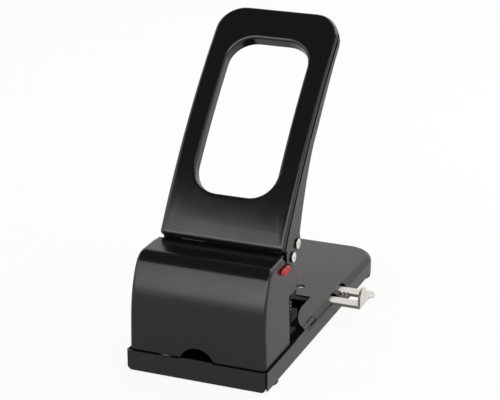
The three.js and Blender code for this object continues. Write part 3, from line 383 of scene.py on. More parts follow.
def shade_tree():
    """Geometry nodes that shade a mesh smooth except across edges sharper than the crease."""
    tree = bpy.data.node_groups.new("shade by crease", "GeometryNodeTree")
    tree.interface.new_socket("Geometry", in_out="INPUT", socket_type="NodeSocketGeometry")
    crease = tree.interface.new_socket("Crease", in_out="INPUT", socket_type="NodeSocketFloat")
    crease.default_value = EDGE_ANGLE
    tree.interface.new_socket("Geometry", in_out="OUTPUT", socket_type="NodeSocketGeometry")
    start = add(tree, "NodeGroupInput")
    bend = add(tree, "GeometryNodeInputMeshEdgeAngle")
    soft = add(tree, "FunctionNodeCompare", {0: bend.outputs[0], 1: start.outputs["Crease"]},
               operation="LESS_THAN")
    faces = add(tree, "GeometryNodeSetShadeSmooth", {
        "Geometry": start.outputs["Geometry"], "Shade Smooth": True}, domain="FACE")
    edges = add(tree, "GeometryNodeSetShadeSmooth", {
        "Geometry": faces.outputs[0], "Shade Smooth": soft.outputs[0]}, domain="EDGE")
    add(tree, "NodeGroupOutput", {"Geometry": edges.outputs[0]})
    return tree


crease_tree = shade_tree()
print("shading breaks at edges over", round(math.degrees(EDGE_ANGLE)), "degrees")

# %% Soft edges for the solids of the frame


def soften(piece, radius_mm, steps=2):
    """Gives a piece rounded edges of that radius and smooth shading."""
    weld = piece.modifiers.new("weld", "WELD")
    weld.merge_threshold = WELD_GAP * MM
    flat = piece.modifiers.new("flat faces", "DECIMATE")
    flat.decimate_type = "DISSOLVE"
    flat.angle_limit = FLAT_ANGLE
    if radius_mm:
        bevel = piece.modifiers.new("edges", "BEVEL")
        bevel.width = radius_mm * MM
        bevel.segments = steps
        bevel.limit_method = "ANGLE"
        bevel.angle_limit = EDGE_ANGLE
        bevel.miter_outer = "MITER_ARC"
    shade = piece.modifiers.new("shade", "NODES")
    shade.node_group = crease_tree
    weighted = piece.modifiers.new("weighted normals", "WEIGHTED_NORMAL")
    weighted.keep_sharp = True


def dress(node, material, radius_mm):
    """Puts a finish on a node of the frame and softens its edges."""
    piece = nodes[node]
    for slot in piece.material_slots:
        slot.link = "OBJECT"
        slot.material = material
    soften(piece, radius_mm)


# %% [markdown]
# Several pieces of the punch are the same shape many times over, or follow a rule: screws, feet,
# springs, and the skin of the handle, which bends in one steady arc. Geometry Nodes suit them,
# because the sizes are named inputs that can be changed and looked at again. Two helpers start a
# tree and turn its result into a plain mesh that stands in its place.

# %% Helpers for geometry nodes
DOUBLE_GAP = 0.001


def start_tree(name, **sockets):
    """A geometry tree with a Geometry input and the named ones, whose values say their kind."""
    tree = bpy.data.node_groups.new(name, "GeometryNodeTree")
    tree.interface.new_socket("Geometry", in_out="INPUT", socket_type="NodeSocketGeometry")
    kinds = {float: "NodeSocketFloat", Vector: "NodeSocketVector", str: "NodeSocketObject"}
    for title, value in sockets.items():
        made = tree.interface.new_socket(title, in_out="INPUT", socket_type=kinds[type(value)])
        if not isinstance(value, str):
            made.default_value = value
    tree.interface.new_socket("Material", in_out="INPUT", socket_type="NodeSocketMaterial")
    tree.interface.new_socket("Geometry", in_out="OUTPUT", socket_type="NodeSocketGeometry")
    return tree, add(tree, "NodeGroupInput")


def end_tree(tree, start, geometry):
    """Closes a tree: instances become real, and everything takes the finish."""
    real = add(tree, "GeometryNodeRealizeInstances", {"Geometry": geometry})
    finished = add(tree, "GeometryNodeSetMaterial", {
        "Geometry": real.outputs[0], "Material": start.outputs["Material"]})
    add(tree, "NodeGroupOutput", {"Geometry": finished.outputs[0]})
    return tree


def grow(name, seed_mesh, tree, **values):
    """Runs a tree on a mesh and keeps the result as a plain piece at the origin."""
    holder = put_in_scene(name + "_start", seed_mesh)
    modifier = holder.modifiers.new("grow", "NODES")
    modifier.node_group = tree
    for item in tree.interface.items_tree:
        if item.in_out == "INPUT" and item.name in values:
            modifier[item.identifier] = values[item.name]
    result = holder.evaluated_get(bpy.context.evaluated_depsgraph_get())
    mesh = bpy.data.meshes.new_from_object(result)
    bpy.data.objects.remove(holder)
    piece = put_in_scene(name, mesh)
    print(name, "has", len(mesh.polygons), "faces")
    return piece


def plain_mesh(name, points, faces=()):
    """A mesh from points in the frame's metres, with its faces turned outwards."""
    mesh = bpy.data.meshes.new(name)
    mesh.from_pydata([tuple(point) for point in points], [], [list(face) for face in faces])
    if faces:
        solid = bmesh.new()
        solid.from_mesh(mesh)
        bmesh.ops.remove_doubles(solid, verts=solid.verts, dist=DOUBLE_GAP * MM)
        bmesh.ops.recalc_face_normals(solid, faces=solid.faces)
        solid.to_mesh(mesh)
        solid.free()
    return mesh


# %% [markdown]
# The skin is a moulded plate that is first drawn flat, the way a die maker would draw it: an
# outline with round corners, a grip opening, and a profile that rolls over both edges and lines
# the opening. Loops of equal count are stacked along that profile, so every corner keeps clean
# quads and the highlight along the edge runs without a break. A boolean and a bevel would make
# the same shape, with a knot of thin faces at every corner.

# %% The sizes of the skin
HANDLE_WIDTH = 119.8
HANDLE_LENGTH = 235
GRIP_WIDTH = 80
GRIP_LOW = 44
GRIP_HIGH = 201
GRIP_RADIUS = 25
FOOT_RADIUS = 3.6
TIP_RADIUS = 26
EDGE_ROLL = 4.3
GRIP_ROLL = 3.2
SKIN_EDGE = 4.4
SKIN_WALL = 2.0
RIM_DEPTH = 12
RIM_WALL = 1.8
ROLL_STEPS = 6
CORNER_STEPS = 10
LONG_STEPS = 40
SHORT_STEPS = 16
FACE_STEPS = 5
print("skin", HANDLE_WIDTH, "by", HANDLE_LENGTH, "mm, opening", GRIP_WIDTH, "by", GRIP_HIGH - GRIP_LOW)

# %% Loops of the flat skin


def rounded_loop(half, low, high, low_radius, high_radius):
    """Points (x, along) round a rectangle whose two foot corners and two tip corners are round."""
    corners = [(half - low_radius, low + low_radius, low_radius, -1, LONG_STEPS),
               (half - high_radius, high - high_radius, high_radius, 0, SHORT_STEPS),
               (high_radius - half, high - high_radius, high_radius, 1, LONG_STEPS),
               (low_radius - half, low + low_radius, low_radius, 2, SHORT_STEPS)]
    arcs = [[(cx + radius * math.cos(math.pi / 2 * (turn + k / CORNER_STEPS)),
              cy + radius * math.sin(math.pi / 2 * (turn + k / CORNER_STEPS)))
             for k in range(CORNER_STEPS + 1)] for cx, cy, radius, turn, _ in corners]
    loop = []
    for k, arc in enumerate(arcs):
        (x0, s0), (x1, s1) = arc[-1], arcs[(k + 1) % 4][0]
        steps = corners[k][4]
        loop += arc
        loop += [(x0 + (x1 - x0) * j / steps, s0 + (s1 - s0) * j / steps) for j in range(1, steps)]
    return loop


def outline(inset):
    """The edge of the skin, moved inwards."""
    return rounded_loop(HANDLE_WIDTH / 2 - inset, inset, HANDLE_LENGTH - inset, FOOT_RADIUS - inset / 2,
                        TIP_RADIUS - inset)


def grip(outset):
    """The edge of the grip opening, moved outwards."""
    radius = GRIP_RADIUS + outset
    return rounded_loop(GRIP_WIDTH / 2 + outset, GRIP_LOW - outset, GRIP_HIGH + outset, radius, radius)


def between(first, second, share):
    """A loop at a share of the way from one loop to another."""
    return [(a[0] + (b[0] - a[0]) * share, a[1] + (b[1] - a[1]) * share) for a, b in zip(first, second)]


print("points in a loop of the skin:", len(outline(0)))

# %% The flat skin


def flat_skin():
    """Loops (points, depth) from the outer edge over the face into the opening and back inside."""
    rolls = [math.pi / 2 * k / ROLL_STEPS for k in range(ROLL_STEPS + 1)]
    quarter = [(1 - math.cos(angle), 1 - math.sin(angle)) for angle in rolls]
    loops = [(outline(0), SKIN_EDGE)]
    loops += [(outline(EDGE_ROLL * aside), EDGE_ROLL * down) for aside, down in quarter]
    loops += [(between(outline(EDGE_ROLL), grip(GRIP_ROLL), k / FACE_STEPS), 0)
              for k in range(1, FACE_STEPS)]
    loops += [(grip(GRIP_ROLL * aside), GRIP_ROLL * down) for aside, down in reversed(quarter)]
    loops += [(grip(0), RIM_DEPTH), (grip(RIM_WALL), RIM_DEPTH), (grip(RIM_WALL), SKIN_WALL)]
    loops += [(between(grip(RIM_WALL), outline(RIM_WALL), 0.5), SKIN_WALL), (outline(RIM_WALL), SKIN_WALL),
              (outline(RIM_WALL), SKIN_EDGE)]
    points = [(x * MM, s * MM, d * MM) for loop, d in loops for x, s in loop]
    count = len(loops[0][0])
    faces = []
    for j in range(len(loops)):
        this, following = j * count, (j + 1) % len(loops) * count
        for k in range(count):
            beside = (k + 1) % count
            faces.append((this + k, this + beside, following + beside, following + k))
    return plain_mesh("flat_skin", points, faces)


flat_mesh = flat_skin()
print("faces of the flat skin:", len(flat_mesh.polygons))

# %% [markdown]
# Bending is a rule: a place that far along the handle sits at that angle on an arc, and a place
# deeper behind the face sits nearer to the arc's middle. A curve deform modifier would do it too,
# but it needs a curve object and stretches the ends. A sine and a cosine are exact.

# %% The tree that bends
FOOT_LEAN = math.radians(31.85)
TIP_LEAN = math.radians(50)
FOOT_BACK = 24.4
FOOT_RISE = 14.3
ARC_RADIUS = HANDLE_LENGTH / (TIP_LEAN - FOOT_LEAN)

bend_tree, start = start_tree("bent along an arc", **{
    "Foot Lean": FOOT_LEAN, "Arc Radius": ARC_RADIUS * MM, "Arc Middle": Vector((0, 0, 0))})
place = add(bend_tree, "GeometryNodeInputPosition")
flat = add(bend_tree, "ShaderNodeSeparateXYZ", {0: place.outputs[0]})
turn = add(bend_tree, "ShaderNodeMath", {0: flat.outputs["Y"], 1: start.outputs["Arc Radius"]},
           operation="DIVIDE")
lean = add(bend_tree, "ShaderNodeMath", {0: turn.outputs[0], 1: start.outputs["Foot Lean"]},
           operation="ADD")
reach = add(bend_tree, "ShaderNodeMath", {0: start.outputs["Arc Radius"], 1: flat.outputs["Z"]},
            operation="SUBTRACT")
cosine = add(bend_tree, "ShaderNodeMath", {0: lean.outputs[0]}, operation="COSINE")
sine = add(bend_tree, "ShaderNodeMath", {0: lean.outputs[0]}, operation="SINE")
forward = add(bend_tree, "ShaderNodeMath", {0: reach.outputs[0], 1: cosine.outputs[0]},
              operation="MULTIPLY")
back = add(bend_tree, "ShaderNodeMath", {0: forward.outputs[0], 1: -1.0}, operation="MULTIPLY")
up = add(bend_tree, "ShaderNodeMath", {0: reach.outputs[0], 1: sine.outputs[0]}, operation="MULTIPLY")
bent = add(bend_tree, "ShaderNodeCombineXYZ", {
    "X": flat.outputs["X"], "Y": back.outputs[0], "Z": up.outputs[0]})
across = add(bend_tree, "ShaderNodeVectorMath", {0: start.outputs["Arc Middle"], 1: bent.outputs[0]},
             operation="ADD")
moved = add(bend_tree, "GeometryNodeSetPosition", {
    "Geometry": start.outputs["Geometry"], "Position": across.outputs[0]})
end_tree(bend_tree, start, moved.outputs[0])
print("arc radius", round(ARC_RADIUS), "mm, lean", round(math.degrees(FOOT_LEAN), 1), "to",
      round(math.degrees(TIP_LEAN), 1), "degrees")

# %% The skin in its place
pivot_low, pivot_high = span("pivot_axle")
pivot = (pivot_low + pivot_high) / 2
foot = Vector((0, pivot.y - FOOT_BACK, pivot.z + FOOT_RISE))
arc_middle = foot + ARC_RADIUS * Vector((0, math.cos(FOOT_LEAN), -math.sin(FOOT_LEAN)))
skin = grow("skin_of_the_handle", flat_mesh, bend_tree, **{
    "Foot Lean": FOOT_LEAN, "Arc Radius": ARC_RADIUS * MM, "Arc Middle": at(*arc_middle),
    "Material": skin_plastic})
soften(skin, 0)
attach(skin, "handle")
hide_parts("handle_skin")

# %% [markdown]
# A return spring stands round each post. It is a helix of wire, so the tree draws a spiral curve
# and sweeps a circle along it, once for each post. A screw modifier would sweep it too, but its
# pitch and height can't be named. The springs are drawn at their full height, as they stand when
# the handle is up.

# %% The return springs
COIL_RADIUS = 3.6
WIRE_RADIUS = 0.7
COIL_TURNS = 7.0
STEPS_PER_TURN = 24
WIRE_SIDES = 10

spring_low, spring_high = span("return_spring_left")
spring_height = spring_high.z - spring_low.z
helix_height = (spring_height - 2 * WIRE_RADIUS) * MM
spring_tree, start = start_tree("springs round their posts", Turns=COIL_TURNS, Height=helix_height,
                                **{"Coil Radius": COIL_RADIUS * MM, "Wire Radius": WIRE_RADIUS * MM})
helix = add(spring_tree, "GeometryNodeCurveSpiral", {
    "Resolution": STEPS_PER_TURN, "Rotations": start.outputs["Turns"], "Height": start.outputs["Height"],
    "Start Radius": start.outputs["Coil Radius"], "End Radius": start.outputs["Coil Radius"]})
section = add(spring_tree, "GeometryNodeCurvePrimitiveCircle", {
    "Resolution": WIRE_SIDES, "Radius": start.outputs["Wire Radius"]})
wire = add(spring_tree, "GeometryNodeCurveToMesh", {
    "Curve": helix.outputs[0], "Profile Curve": section.outputs[0], "Fill Caps": True})
round_wire = add(spring_tree, "GeometryNodeSetShadeSmooth", {
    "Geometry": wire.outputs[0], "Shade Smooth": True})
stood = add(spring_tree, "GeometryNodeInstanceOnPoints", {
    "Points": start.outputs["Geometry"], "Instance": round_wire.outputs[0]})
end_tree(spring_tree, start, stood.outputs[0])

# %% The return springs in their places
spring_feet = []
for side in ("left", "right"):
    low, high = span(f"return_spring_{side}")
    spring_feet.append(at((low.x + high.x) / 2, (low.y + high.y) / 2, low.z + WIRE_RADIUS))
springs = grow("return_springs", plain_mesh("spring_feet", spring_feet), spring_tree, **{
    "Turns": COIL_TURNS, "Height": helix_height, "Coil Radius": COIL_RADIUS * MM,
    "Wire Radius": WIRE_RADIUS * MM, "Material": dull_steel})
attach(springs, "base")
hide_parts("return_spring_left", "return_spring_right")
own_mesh(springs)

# %% [markdown]
# Screws, rivets and feet are all turned on a lathe or moulded in a round mould, so one function
# spins a profile of radius and height into a closed mesh. A row of points with a direction and
# a size then says where each copy stands, and a tree sets the copies out.

# %% Turned shapes, and a tree that sets them out


def turned(name, profile, sides=48):
    """A mesh spun from (radius, height) in millimetres, closed where the radius is 0."""
    points, rings, faces = [], [], []
    for radius, height in profile:
        count = sides if radius else 1
        rings.append([len(points) + k for k in range(count)])
        angles = [2 * math.pi * k / sides for k in range(count)]
        points += [(radius * MM * math.cos(angle), radius * MM * math.sin(angle), height * MM)
                   for angle in angles]
    for low, high in zip(rings, rings[1:]):
        for k in range(sides):
            corners = [low[k % len(low)], low[(k + 1) % len(low)],
                       high[(k + 1) % len(high)], high[k % len(high)]]
            faces.append(list(dict.fromkeys(corners)))
    return plain_mesh(name, points, faces)


def setting_out(name, places):
    """A mesh of points, each with the direction that its copy faces and the copy's scale."""
    mesh = plain_mesh(name, [place for place, _, _ in places])
    mesh.attributes.new("facing", "FLOAT_VECTOR", "POINT")
    mesh.attributes.new("size", "FLOAT", "POINT")
    for k, (place, facing, scale) in enumerate(places):
        mesh.attributes["facing"].data[k].vector = facing
        mesh.attributes["size"].data[k].value = scale
    return mesh


set_out_tree, start = start_tree("copies on points", Copied="object")
copied = add(set_out_tree, "GeometryNodeObjectInfo", {"Object": start.outputs["Copied"]})
facing = add(set_out_tree, "GeometryNodeInputNamedAttribute", {"Name": "facing"},
             data_type="FLOAT_VECTOR")
size = add(set_out_tree, "GeometryNodeInputNamedAttribute", {"Name": "size"}, data_type="FLOAT")
aligned = add(set_out_tree, "FunctionNodeAlignRotationToVector", {"Vector": facing.outputs[0]},
              axis="Z")
copies = add(set_out_tree, "GeometryNodeInstanceOnPoints", {
    "Points": start.outputs["Geometry"], "Instance": copied.outputs["Geometry"],
    "Rotation": aligned.outputs[0], "Scale": size.outputs[0]})
end_tree(set_out_tree, start, copies.outputs[0])
print("nodes in the tree that sets out copies:", len(set_out_tree.nodes))


def set_out(name, shape, places, material):
    """Copies of a shape on places (place, facing, scale), as one plain piece."""
    model = put_in_scene(name + "_model", shape)
    piece = grow(name, setting_out(name + "_places", places), set_out_tree, Copied=model,
                 Material=material)
    bpy.data.objects.remove(model)
    return piece


# %% [markdown]
# Four rubber feet keep the punch from sliding when the handle is pushed. Each is a pad with a
# hollow and two ring grooves in its sole, and a neck that sits in the base. The profile below is
# that section as (radius, height), and it is spun because a primitive cylinder has no grooves.

# %% The feet
FOOT_SIDES = 40
FOOT_EDGE = 0.15
FOOT_PROFILE = [(0, 1.0), (3.2, 1.0), (3.6, 0.0), (5.4, 0.0), (5.7, 0.5), (6.3, 0.5), (6.6, 0.0),
                (8.4, 0.0), (8.7, 0.5), (9.3, 0.5), (9.6, 0.0), (12.3, 0.0), (13.0, 0.7),
                (13.0, 2.7), (9.0, 2.7), (9.0, 4.4), (0, 4.4)]
foot_places = []
for k in range(1, 5):
    low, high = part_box(f"rubber_foot_{k}")
    sole = Vector(((low.x + high.x) / 2, (low.y + high.y) / 2, low.z))
    foot_places.append((sole, Vector((0, 0, 1)), 1.0))
feet = set_out("rubber_feet", turned("foot", FOOT_PROFILE, sides=FOOT_SIDES), foot_places, rubber)
soften(feet, FOOT_EDGE)
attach(feet, "base")
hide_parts(*[f"rubber_foot_{k}" for k in range(1, 5)])

# %% [markdown]
# Eight slotted screws hold the side plates down and the blocks between them. The head is turned
# with a low dome, and the slot is cut with a boolean, as a slitting saw would. They are set out
# by reading each screw's box in the frame: its head stands at the end that faces out.

# %% One screw
HEAD_RADIUS = 3.0
HEAD_HEIGHT = 1.8
SHANK_RADIUS = 1.8
SHANK_LENGTH = 7.0
SHANK_CHAMFER = 0.3
SLOT_WIDTH = 0.9
SLOT_DEPTH = 0.8
SAW_LENGTH = 20
SCREW_SIDES = 32
SCREW_PROFILE = [(0, -SHANK_LENGTH), (SHANK_RADIUS - SHANK_CHAMFER, -SHANK_LENGTH),
                 (SHANK_RADIUS, SHANK_CHAMFER - SHANK_LENGTH), (SHANK_RADIUS, 0), (HEAD_RADIUS, 0),
                 (HEAD_RADIUS, 1.0), (2.6, 1.45), (1.6, 1.72), (0, HEAD_HEIGHT)]


def slotted_screw():
    """A turned screw with a slot sawn across its head."""
    sizes = {"Slot Width": SLOT_WIDTH * MM, "Slot Depth": SLOT_DEPTH * MM, "Head Height": HEAD_HEIGHT * MM}
    tree, start = start_tree("sawn slot", **sizes)
    twice = add(tree, "ShaderNodeMath", {0: start.outputs["Slot Depth"], 1: 2.0}, operation="MULTIPLY")
    size = add(tree, "ShaderNodeCombineXYZ", {
        "X": SAW_LENGTH * MM, "Y": start.outputs["Slot Width"], "Z": twice.outputs[0]})
    saw = add(tree, "GeometryNodeMeshCube", {"Size": size.outputs[0]})
    lift = add(tree, "ShaderNodeCombineXYZ", {"Z": start.outputs["Head Height"]})
    held = add(tree, "GeometryNodeTransform", {"Geometry": saw.outputs[0], "Translation": lift.outputs[0]})
    cut = add(tree, "GeometryNodeMeshBoolean", {
        "Mesh 1": start.outputs["Geometry"], "Mesh 2": held.outputs[0]}, operation="DIFFERENCE")
    end_tree(tree, start, cut.outputs[0])
    body = turned("screw_body", SCREW_PROFILE, sides=SCREW_SIDES)
    piece = grow("one_screw", body, tree, Material=dull_steel, **sizes)
    mesh = piece.data
    bpy.data.objects.remove(piece)
    return mesh


# %% The screws in their places
SCREW_EDGE = 0.1


def screw_place(node, facing):
    """Where a screw's head meets what it clamps, read from the screw's box."""
    low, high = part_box(node)
    middle = (low + high) / 2
    half_length = (high - middle).dot(Vector([abs(value) for value in facing]))
    return middle + facing * (half_length - HEAD_HEIGHT * MM), facing, 1.0


screw_names = [name for name in nodes if name.startswith(("frame_screw", "block_screw"))]
screw_places = []
for name in screw_names:
    sideways = 1 if "right" in name else -1
    facing_out = Vector((0, 0, 1)) if name.startswith("frame") else Vector((sideways, 0, 0))
    screw_places.append(screw_place(name, facing_out))
screws = set_out("head_screws", slotted_screw(), screw_places, dull_steel)
soften(screws, SCREW_EDGE)
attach(screws, "base")
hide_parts(*screw_names)

# %% [markdown]
# The two axles end in flat riveted heads, bright from the tool that formed them, with a small
# crater in the middle. One profile is spun for both, and its faces take a black second finish in
# the crater and wherever they lie between the heads: painted shade in the hollow and on the shaft
# between the ears.

# %% The axles
RIVET_THICKNESS = 1.0
RIVET_RADIUS = 4.7
SHAFT_RADIUS = 4.0
CRATER = 1.0
AXLE_SIDES = 56
SLIVER = 0.01
half_axle = (pivot_high.x - pivot_low.x) / 2


def axle(node, body):
    """A riveted axle along x, bright at its heads, black between them and in the crater as painted shade.
    """
    low, high = span(node)
    steps = [(0, 0.6), (0.7, 0.5), (CRATER, 0.12), (CRATER + 0.2, 0), (3.6, 0.06), (4.3, 0.22),
             (RIVET_RADIUS, 0.55), (RIVET_RADIUS, RIVET_THICKNESS), (SHAFT_RADIUS, RIVET_THICKNESS)]
    end = [(radius, half_axle - below) for radius, below in steps]
    profile = [(radius, -along) for radius, along in end] + end[::-1]
    mesh = turned(f"turned_{node}", profile, sides=AXLE_SIDES)
    middle = at(0, (low.y + high.y) / 2, (low.z + high.z) / 2)
    mesh.transform(Matrix.Translation(middle) @ Matrix.Rotation(math.pi / 2, 4, "Y"))
    mesh.materials.append(nickel)
    mesh.materials.append(blackened)
    # Painted shade: the faces of the shaft between the heads and of the crater take the black finish.
    inside = (half_axle - RIVET_THICKNESS + SLIVER) * MM
    for face in mesh.polygons:
        off_axis = math.hypot(face.center.y - middle.y, face.center.z - middle.z)
        if abs(face.center.x - middle.x) < inside or off_axis < CRATER * MM:
            face.material_index = 1
    piece = put_in_scene(f"riveted_{node}", mesh)
    soften(piece, 0)
    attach(piece, body)
    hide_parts(node)
    print(node, "is", round(2 * half_axle, 1), "mm long")


axle("pivot_axle", "base")
axle("load_axle", "handle")

# %% Their washers
WASHER_EDGE = 0.12
# The washers are blackened, which also paints the shade on the side of each bright rivet head.
for side in ("left", "right"):
    dress(f"pivot_washer_{side}", blackened, WASHER_EDGE)
    dress(f"load_washer_{side}", blackened, WASHER_EDGE)
print("edge radius of the washers", WASHER_EDGE, "mm")

# %% [markdown]
# The knob of the handle lock is a small red moulding with two round lobes and a saddle between
# them for the thumb. Its cross sections are half ellipses whose depth and height swell and shrink
# along its length, and a subdivision surface makes them one soft form. Two spheres in one would
# be quicker, and leave a hard crease where they meet.

# %% The sizes of the red knob
KNOB_DEPTH = 4.3
KNOB_SWELL = 1.2
KNOB_TRIM = 0.95
KNOB_SECTIONS = 25
KNOB_SIDES = 12
KNOB_TIP = 0.12
BULGE_POWER = 0.8
TAPER_POWER = 0.7
SADDLE = 0.74
SADDLE_END = 0.5
LOBE_POWER = 2.6
knob_low, knob_high = span("lock_knob")
print("knob is", round(knob_high.y - knob_low.y, 1), "mm long")

# %% The red knob


def knob_swell(share):
    """How full the knob is, from 0 at its ends to 1 on a lobe, at a share -1 to 1 of its length."""
    lobe = max(0.0, 1 - abs(2 * abs(share) - 1) ** LOBE_POWER) ** (1 / LOBE_POWER)
    saddle = SADDLE if abs(share) < SADDLE_END else 0
    return max(lobe, saddle)


def knob():
    """The knob as one closed mesh, its flat side against the cover."""
    cover_side = knob_high.x - KNOB_DEPTH
    middle = (knob_low + knob_high) / 2
    half = (knob_high.y - knob_low.y) / 2 * KNOB_TRIM
    tall = (knob_high.z - knob_low.z) / 2 * KNOB_SWELL
    deep = knob_high.x - cover_side
    points, faces = [], []
    for j in range(KNOB_SECTIONS):
        share = math.sin(math.pi * (j / (KNOB_SECTIONS - 1) - 0.5))
        fullness = max(KNOB_TIP, knob_swell(share))
        for k in range(KNOB_SIDES + 1):
            angle = math.pi * (k / KNOB_SIDES - 0.5)
            points.append(at(cover_side + deep * fullness * math.cos(angle) ** BULGE_POWER,
                             middle.y + half * share,
                             middle.z + tall * fullness ** TAPER_POWER * math.sin(angle)))
    row = KNOB_SIDES + 1
    for j in range(KNOB_SECTIONS - 1):
        for k in range(row):
            beside = (k + 1) % row
            faces.append((j * row + k, j * row + beside, (j + 1) * row + beside, (j + 1) * row + k))
    faces += [tuple(range(row)), tuple(range((KNOB_SECTIONS - 1) * row, KNOB_SECTIONS * row))]
    mesh = plain_mesh("knob", points, faces)
    mesh.materials.append(red_plastic)
    mesh.shade_smooth()
    piece = put_in_scene("red_knob", mesh)
    rounded = piece.modifiers.new("rounded", "SUBSURF")
    rounded.levels = rounded.render_levels = 1
    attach(piece, "lock")
    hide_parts("lock_knob")
    print("knob stands", round(deep, 2), "mm off the cover")


knob()

# %% [markdown]
# The inner works are mostly out of sight, but they show through the side window, through the
# opening in the table and from behind. Their shapes are right already, so they keep their
# solids and take a finish and soft edges. Inside a punch the steel is oiled and dull, and only
# what is ground, plated or rubbed is bright: the punches, their caps and the screws.

# %% The inner works
PLATE_EDGE = 0.4
BLOCK_EDGE = 0.2
# The side plates and the base plate take the darker copy of blackened steel, which paints the shade they
# lie in.
for name in ("side_frame_left", "side_frame_right", "base_plate"):
    dress(name, blackened_in_shade, PLATE_EDGE)
for name in ("die_block", "guide_block", "crosshead", "lock_slide"):
    dress(name, blackened, BLOCK_EDGE)
for name in ("paper_stop", "tie_rod", "guide_pawl"):
    dress(name, dull_steel, BLOCK_EDGE)
for side in ("left", "right"):
    for name in ("punch_pin", "punch_cap", "table_screw"):
        dress(f"{name}_{side}", nickel, 0)
    dress(f"spring_post_{side}", dull_steel, 0)
print("nodes dressed so far:", sum("weld" in piece.modifiers for piece in nodes.values()))

# %% [markdown]
# The cover is one sheet, and a bright band runs across its front where it begins to lean back.
# The band is only right when the bend is right: on the real cover it tightens in three steps,
# gently at first and sharply under the roof. The solid has two steps, so a copy of it is cut
# into thin strips, and each strip slides to the finer curve. The window, the slots and the
# thickness come along, which a cover drawn again from nothing would have to repeat. Each step of
# a bend below is the height where it begins and its radius.

# %% How far the cover leans back
SOLID_BENDS = [(47.7, 165), (94.8, 20)]
FINE_BENDS = [(47.7, 165), (71, 86)]
LAST_BEND = 100.6


def lean_back(height, bends):
    """How far back a sheet has leaned at a height, when it bends in steps of (height, radius)."""
    sine = back = 0.0
    for (begin, radius), (end, _) in zip(bends, bends[1:] + [(math.inf, 0)]):
        if height > begin:
            before = math.sqrt(1 - sine * sine)
            sine = min(1.0, sine + (min(height, end) - begin) / radius)
            back += radius * (before - math.sqrt(1 - sine * sine))
    return back


def fine_bends(top):
    """The finer bends, with the last radius worked out so that the sheet is level at the top."""
    (begin, wide), (middle, close) = FINE_BENDS
    sine = (middle - begin) / wide + (LAST_BEND - middle) / close
    return FINE_BENDS + [(LAST_BEND, (top - LAST_BEND) / (1 - sine))], math.asin(sine)


cover_low, cover_high = span("housing_cover")
bends, steepest = fine_bends(cover_high.z)
print("last bend of the cover", round(bends[-1][1], 1), "mm")

# %% [markdown]
# Sliding needs to know where the solid's front is at every height. Its own corners tell: those
# that lie on the two step curve mark the surface, and between two of them it is straight, so a
# point behind it keeps its distance. That keeps the wall as thick as it was.

# %% Cutting the cover into strips
NEAR_SURFACE = 0.2
CORNER_REACH = 9
HAIR = 0.01
WIDE_STRIP = 2
FINE_STRIPS_FROM = 79
LAST_STRIPS = 16


def strip_heights():
    """Heights of the cuts: wide strips below, fine ones above, then equal turns of the last bend."""
    levels = list(range(int(bends[0][0]) + 1, FINE_STRIPS_FROM, WIDE_STRIP))
    levels += list(range(FINE_STRIPS_FROM, int(LAST_BEND) + 1))
    radius = bends[-1][1]
    turns = [steepest + (math.pi / 2 - steepest) * k / LAST_STRIPS for k in range(LAST_STRIPS)]
    return levels + [cover_high.z - radius * (1 - math.sin(turn)) for turn in turns]


def known_front(sheet):
    """How far back the solid's front is, at each height where it has a corner."""
    known = {}
    for vertex in sheet.verts:
        y, z = (vertex.co.y - front_y) / MM, vertex.co.z / MM
        if abs(y - cover_low.y - lean_back(z, SOLID_BENDS)) < NEAR_SURFACE:
            known[round(z, 2)] = min(y, known.get(round(z, 2), y))
    return known


def slide_front(sheet, known):
    """Slides the points of the front wall from the solid's curve to the finer one."""
    heights = sorted(known)
    farthest = 0
    for vertex in sheet.verts:
        y, z = (vertex.co.y - front_y) / MM, vertex.co.z / MM
        if z <= heights[0] or z > heights[-1] + HAIR:
            continue
        above = min((h for h in heights if h >= z - HAIR), default=heights[-1])
        below = max(h for h in heights if h <= z + HAIR)
        share = (z - below) / (above - below) if above > below else 0
        surface = known[below] + (known[above] - known[below]) * share
        near = NEAR_SURFACE if z > cover_high.z - NEAR_SURFACE else CORNER_REACH
        if y < surface + near:
            slide = cover_low.y + lean_back(z, bends) - surface
            vertex.co.y += slide * MM
            farthest = max(farthest, abs(slide))
    return farthest


print("cuts across the front of the cover:", len(strip_heights()))

# %% [markdown]
# The thumb notch is a true arc on the real cover, because a round tool punches it. The solid has
# it as a few straight cuts, so the front is cut across more often there, and the new points move
# out to the arc.

# %% Rounding the thumb notch
THUMB_WIDTH = 32
THUMB_HEIGHT = 11
THUMB_CUTS = 24
NOTCH_REACH = 6
NOTCH_SAG = 0.7
NOTCH_HALF = THUMB_WIDTH / 2
NOTCH_RADIUS = (NOTCH_HALF * NOTCH_HALF + THUMB_HEIGHT * THUMB_HEIGHT) / (2 * THUMB_HEIGHT)
print("arc of the thumb notch", round(NOTCH_RADIUS, 1), "mm")


def round_thumb_notch(sheet):
    """Cuts the front across the thumb notch and moves the cut points out to its true arc."""
    middle_z = span("table_shell")[1].z + THUMB_HEIGHT - NOTCH_RADIUS
    behind = at(0, cover_low.y + NOTCH_REACH, 0).y
    for k in range(1, THUMB_CUTS):
        cut = middle_x + NOTCH_HALF * (2 * k / THUMB_CUTS - 1) * MM
        front = [face for face in sheet.faces if face.calc_center_median().y < behind]
        edges = dict.fromkeys(edge for face in front for edge in face.edges)
        corners = dict.fromkeys(corner for face in front for corner in face.verts)
        bmesh.ops.bisect_plane(sheet, geom=front + list(edges) + list(corners), plane_co=(cut, 0, 0),
                               plane_no=(1, 0, 0))
    for vertex in sheet.verts:
        x, z = (vertex.co.x - middle_x) / MM, vertex.co.z / MM - middle_z
        away = math.hypot(x, z)
        depth = (vertex.co.y - front_y) / MM - cover_low.y
        if z > 0 and abs(away - NOTCH_RADIUS) < NOTCH_SAG and depth < NOTCH_REACH:
            vertex.co.x = middle_x + x * NOTCH_RADIUS / away * MM
            vertex.co.z = (middle_z + z * NOTCH_RADIUS / away) * MM


